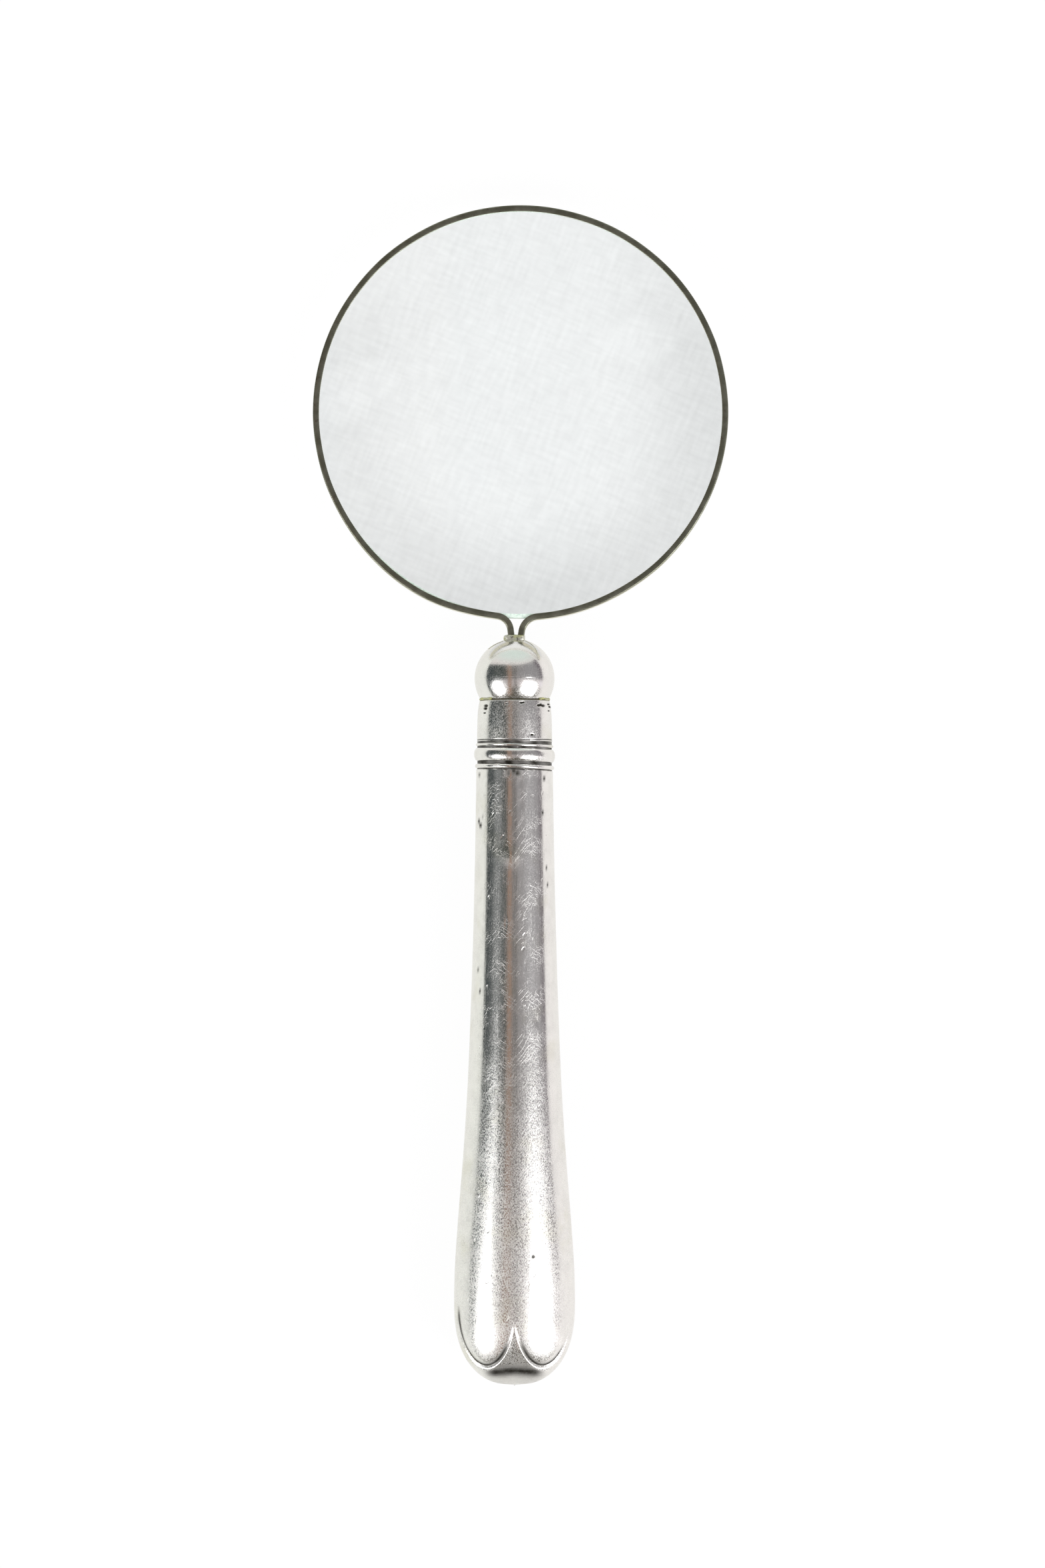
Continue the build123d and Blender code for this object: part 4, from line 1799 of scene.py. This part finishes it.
    def build_room(self) -> None:
        """Paints the dim room that the silver mirrors, and a pale one for everything else."""
        world = bpy.data.worlds.new("studio_room")
        bpy.context.scene.world = world
        world.use_nodes = True
        graph = Graph(world.node_tree)
        way = graph.node("ShaderNodeTexCoord").outputs["Generated"]
        parts = graph.node("ShaderNodeSeparateXYZ", None, {0: way})
        x, y, z = (Wire(graph, parts.outputs[i]) for i in range(3))
        room = graph.mix(x.rise(-0.36, 0.22), (0.036, 0.047, 0.042), (0.270, 0.260, 0.262))
        room = graph.mix(x.rise(0.35, 0.60) * 0.5, room, (0.30, 0.295, 0.31))
        near = y.rise(0.03, -0.12) * y.rise(-0.55, -0.35) * x.rise(-0.75, -0.45)
        room = graph.mix(near * 0.80, room, (0.62, 0.565, 0.565))
        room = graph.mix(y.rise(-0.30, -0.80), room, (0.085, 0.075, 0.050))
        ceiling = x.rise(-0.38, -0.30) * x.rise(-0.10, -0.17) * z.rise(0.5, 0.7)
        room = graph.mix(ceiling, room, (0.33, 0.215, 0.155))
        beam = x.rise(-0.06, 0.02) * x.rise(0.16, 0.10) * z.rise(0.5, 0.7)
        room = graph.mix(beam * 0.7, room, (0.100, 0.090, 0.080))
        right_wall = x.rise(0.50, 0.70) * z.rise(0.34, 0.14) * y.rise(-0.10, 0.0)
        room = graph.mix(right_wall * 0.7, room, (0.085, 0.060, 0.080))
        cloudy = graph.noise(way, 3.2, 3.0, 0.6)
        room = graph.mix(cloudy.rise(0.35, 0.70) * 0.22, room, (0.34, 0.335, 0.335))
        for lamp in self.softboxes:
            toward = x * lamp.way[0] + y * lamp.way[1] + z * lamp.way[2]
            room = graph.mix(toward.rise(0.85, 1.0) * 0.7, room, (0.80, 0.80, 0.82))
        left_wall = x.rise(-0.45, -0.66) * z.rise(0.50, 0.36) * y.rise(-0.30, -0.12)
        room = graph.mix(left_wall * 0.6, room, (0.030, 0.040, 0.045))
        bounce = x.rise(0.90, 0.98) * y.rise(-0.02, -0.20) * z.rise(0.40, 0.20)
        room = graph.mix(bounce, room, (0.92, 0.88, 0.93))
        sweep = (y - x * (1.0 - z) * 0.12).rise(0.610, 0.635)
        backdrop = graph.mix(y.rise(0.62, 0.95), (0.80, 0.765, 0.745), (0.70, 0.80, 0.755))
        room = graph.mix(sweep, room, backdrop)
        path = graph.node("ShaderNodeLightPath")
        mirrored = Wire(graph, path.outputs["Is Glossy Ray"])
        in_glass = Wire(graph, path.outputs["Transmission Depth"]).rise(0.0, 1.0)
        seen = graph.mix(mirrored * (1.0 - in_glass * 0.8), (0.90, 0.90, 0.89), room)
        background = graph.node("ShaderNodeBackground", None, {"Color": seen, "Strength": 1.0})
        graph.node("ShaderNodeOutputWorld", None, {"Surface": background.outputs[0]})

    def build_lamps(self) -> None:
        """Hangs one softbox on each side, a little towards the butt."""
        for box in self.softboxes:
            out = Vector(box.way).normalized()
            across = Vector((0, 1, 0)).cross(out).normalized()
            aim = Matrix((across, out.cross(across), out)).transposed().to_4x4()
            turn = Matrix.Rotation(math.radians(box.spin), 4, out)
            sheet = bpy.data.meshes.new(box.name)
            x, y = box.width / 2, box.height / 2
            corners = [(-x, -y, 0), (x, -y, 0), (x, y, 0), (-x, y, 0)]
            sheet.from_pydata(corners, [], [(3, 2, 1, 0)])
            lamp = place_mesh(box.name, sheet)
            lamp.matrix_world = Matrix.Translation(out * self.lamp_distance) @ turn @ aim
            lamp.visible_camera = False
            dress(lamp, self.soft_light(box))

    def soft_light(self, box: Softbox) -> bpy.types.Material:
        """A cloth lit from behind, which fades out towards its edges.

        Args:
            box: The softbox.

        Returns:
            The material.
        """
        material = bpy.data.materials.new(box.name)
        material.use_nodes = True
        graph = Graph(material.node_tree)
        parts = graph.node("ShaderNodeSeparateXYZ", None, {0: graph.object_place()})
        across = abs(Wire(graph, parts.outputs[0]) / (box.width / 2))
        along = abs(Wire(graph, parts.outputs[1]) / (box.height / 2))
        fade = across.rise(1.0, self.lamp_fade) * along.rise(1.0, self.lamp_fade)
        white = {"Color": (1.0, 1.0, 1.0), "Strength": self.lamp_radiance}
        glow = graph.node("ShaderNodeEmission", None, white)
        clear = graph.node("ShaderNodeBsdfTransparent")
        lit = graph.node("ShaderNodeMixShader", None, {0: fade, 1: clear.outputs[0], 2: glow.outputs[0]})
        graph.node("ShaderNodeOutputMaterial", None, {"Surface": lit.outputs[0]})
        return material

    def build_camera(self) -> None:
        """Looks straight down on the table top."""
        data = bpy.data.cameras.new("camera")
        data.sensor_width = self.sensor
        data.lens = self.sensor * self.distance / self.frame_height
        camera = bpy.data.objects.new("camera", data)
        bpy.context.scene.collection.objects.link(camera)
        across = Vector((1, 0, 0))
        upward = self.up.cross(across)
        turn = Matrix((across, upward, self.up)).transposed().to_4x4()
        target = Vector((*self.aim, self.marks.axis_z * MM))
        camera.matrix_world = Matrix.Translation(target + self.up * self.distance) @ turn
        bpy.context.scene.camera = camera


def main() -> None:
    """Builds the studio and every sub-assembly."""
    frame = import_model()
    logging.basicConfig(level=logging.INFO, format="%(name)s: %(message)s")
    bpy.context.scene.view_settings.view_transform = "Standard"
    marks = Landmarks.read()
    cap, filling = frame["nodes"]["cap_plate"], frame["nodes"]["pitch_filling"]
    for part in (Studio(marks), LensHead(marks), BallJoint(marks, cap), Handle(marks, filling)):
        LOG.info("building %s", type(part).__name__)
        part.build()


if __name__ == "__main__":
    main()
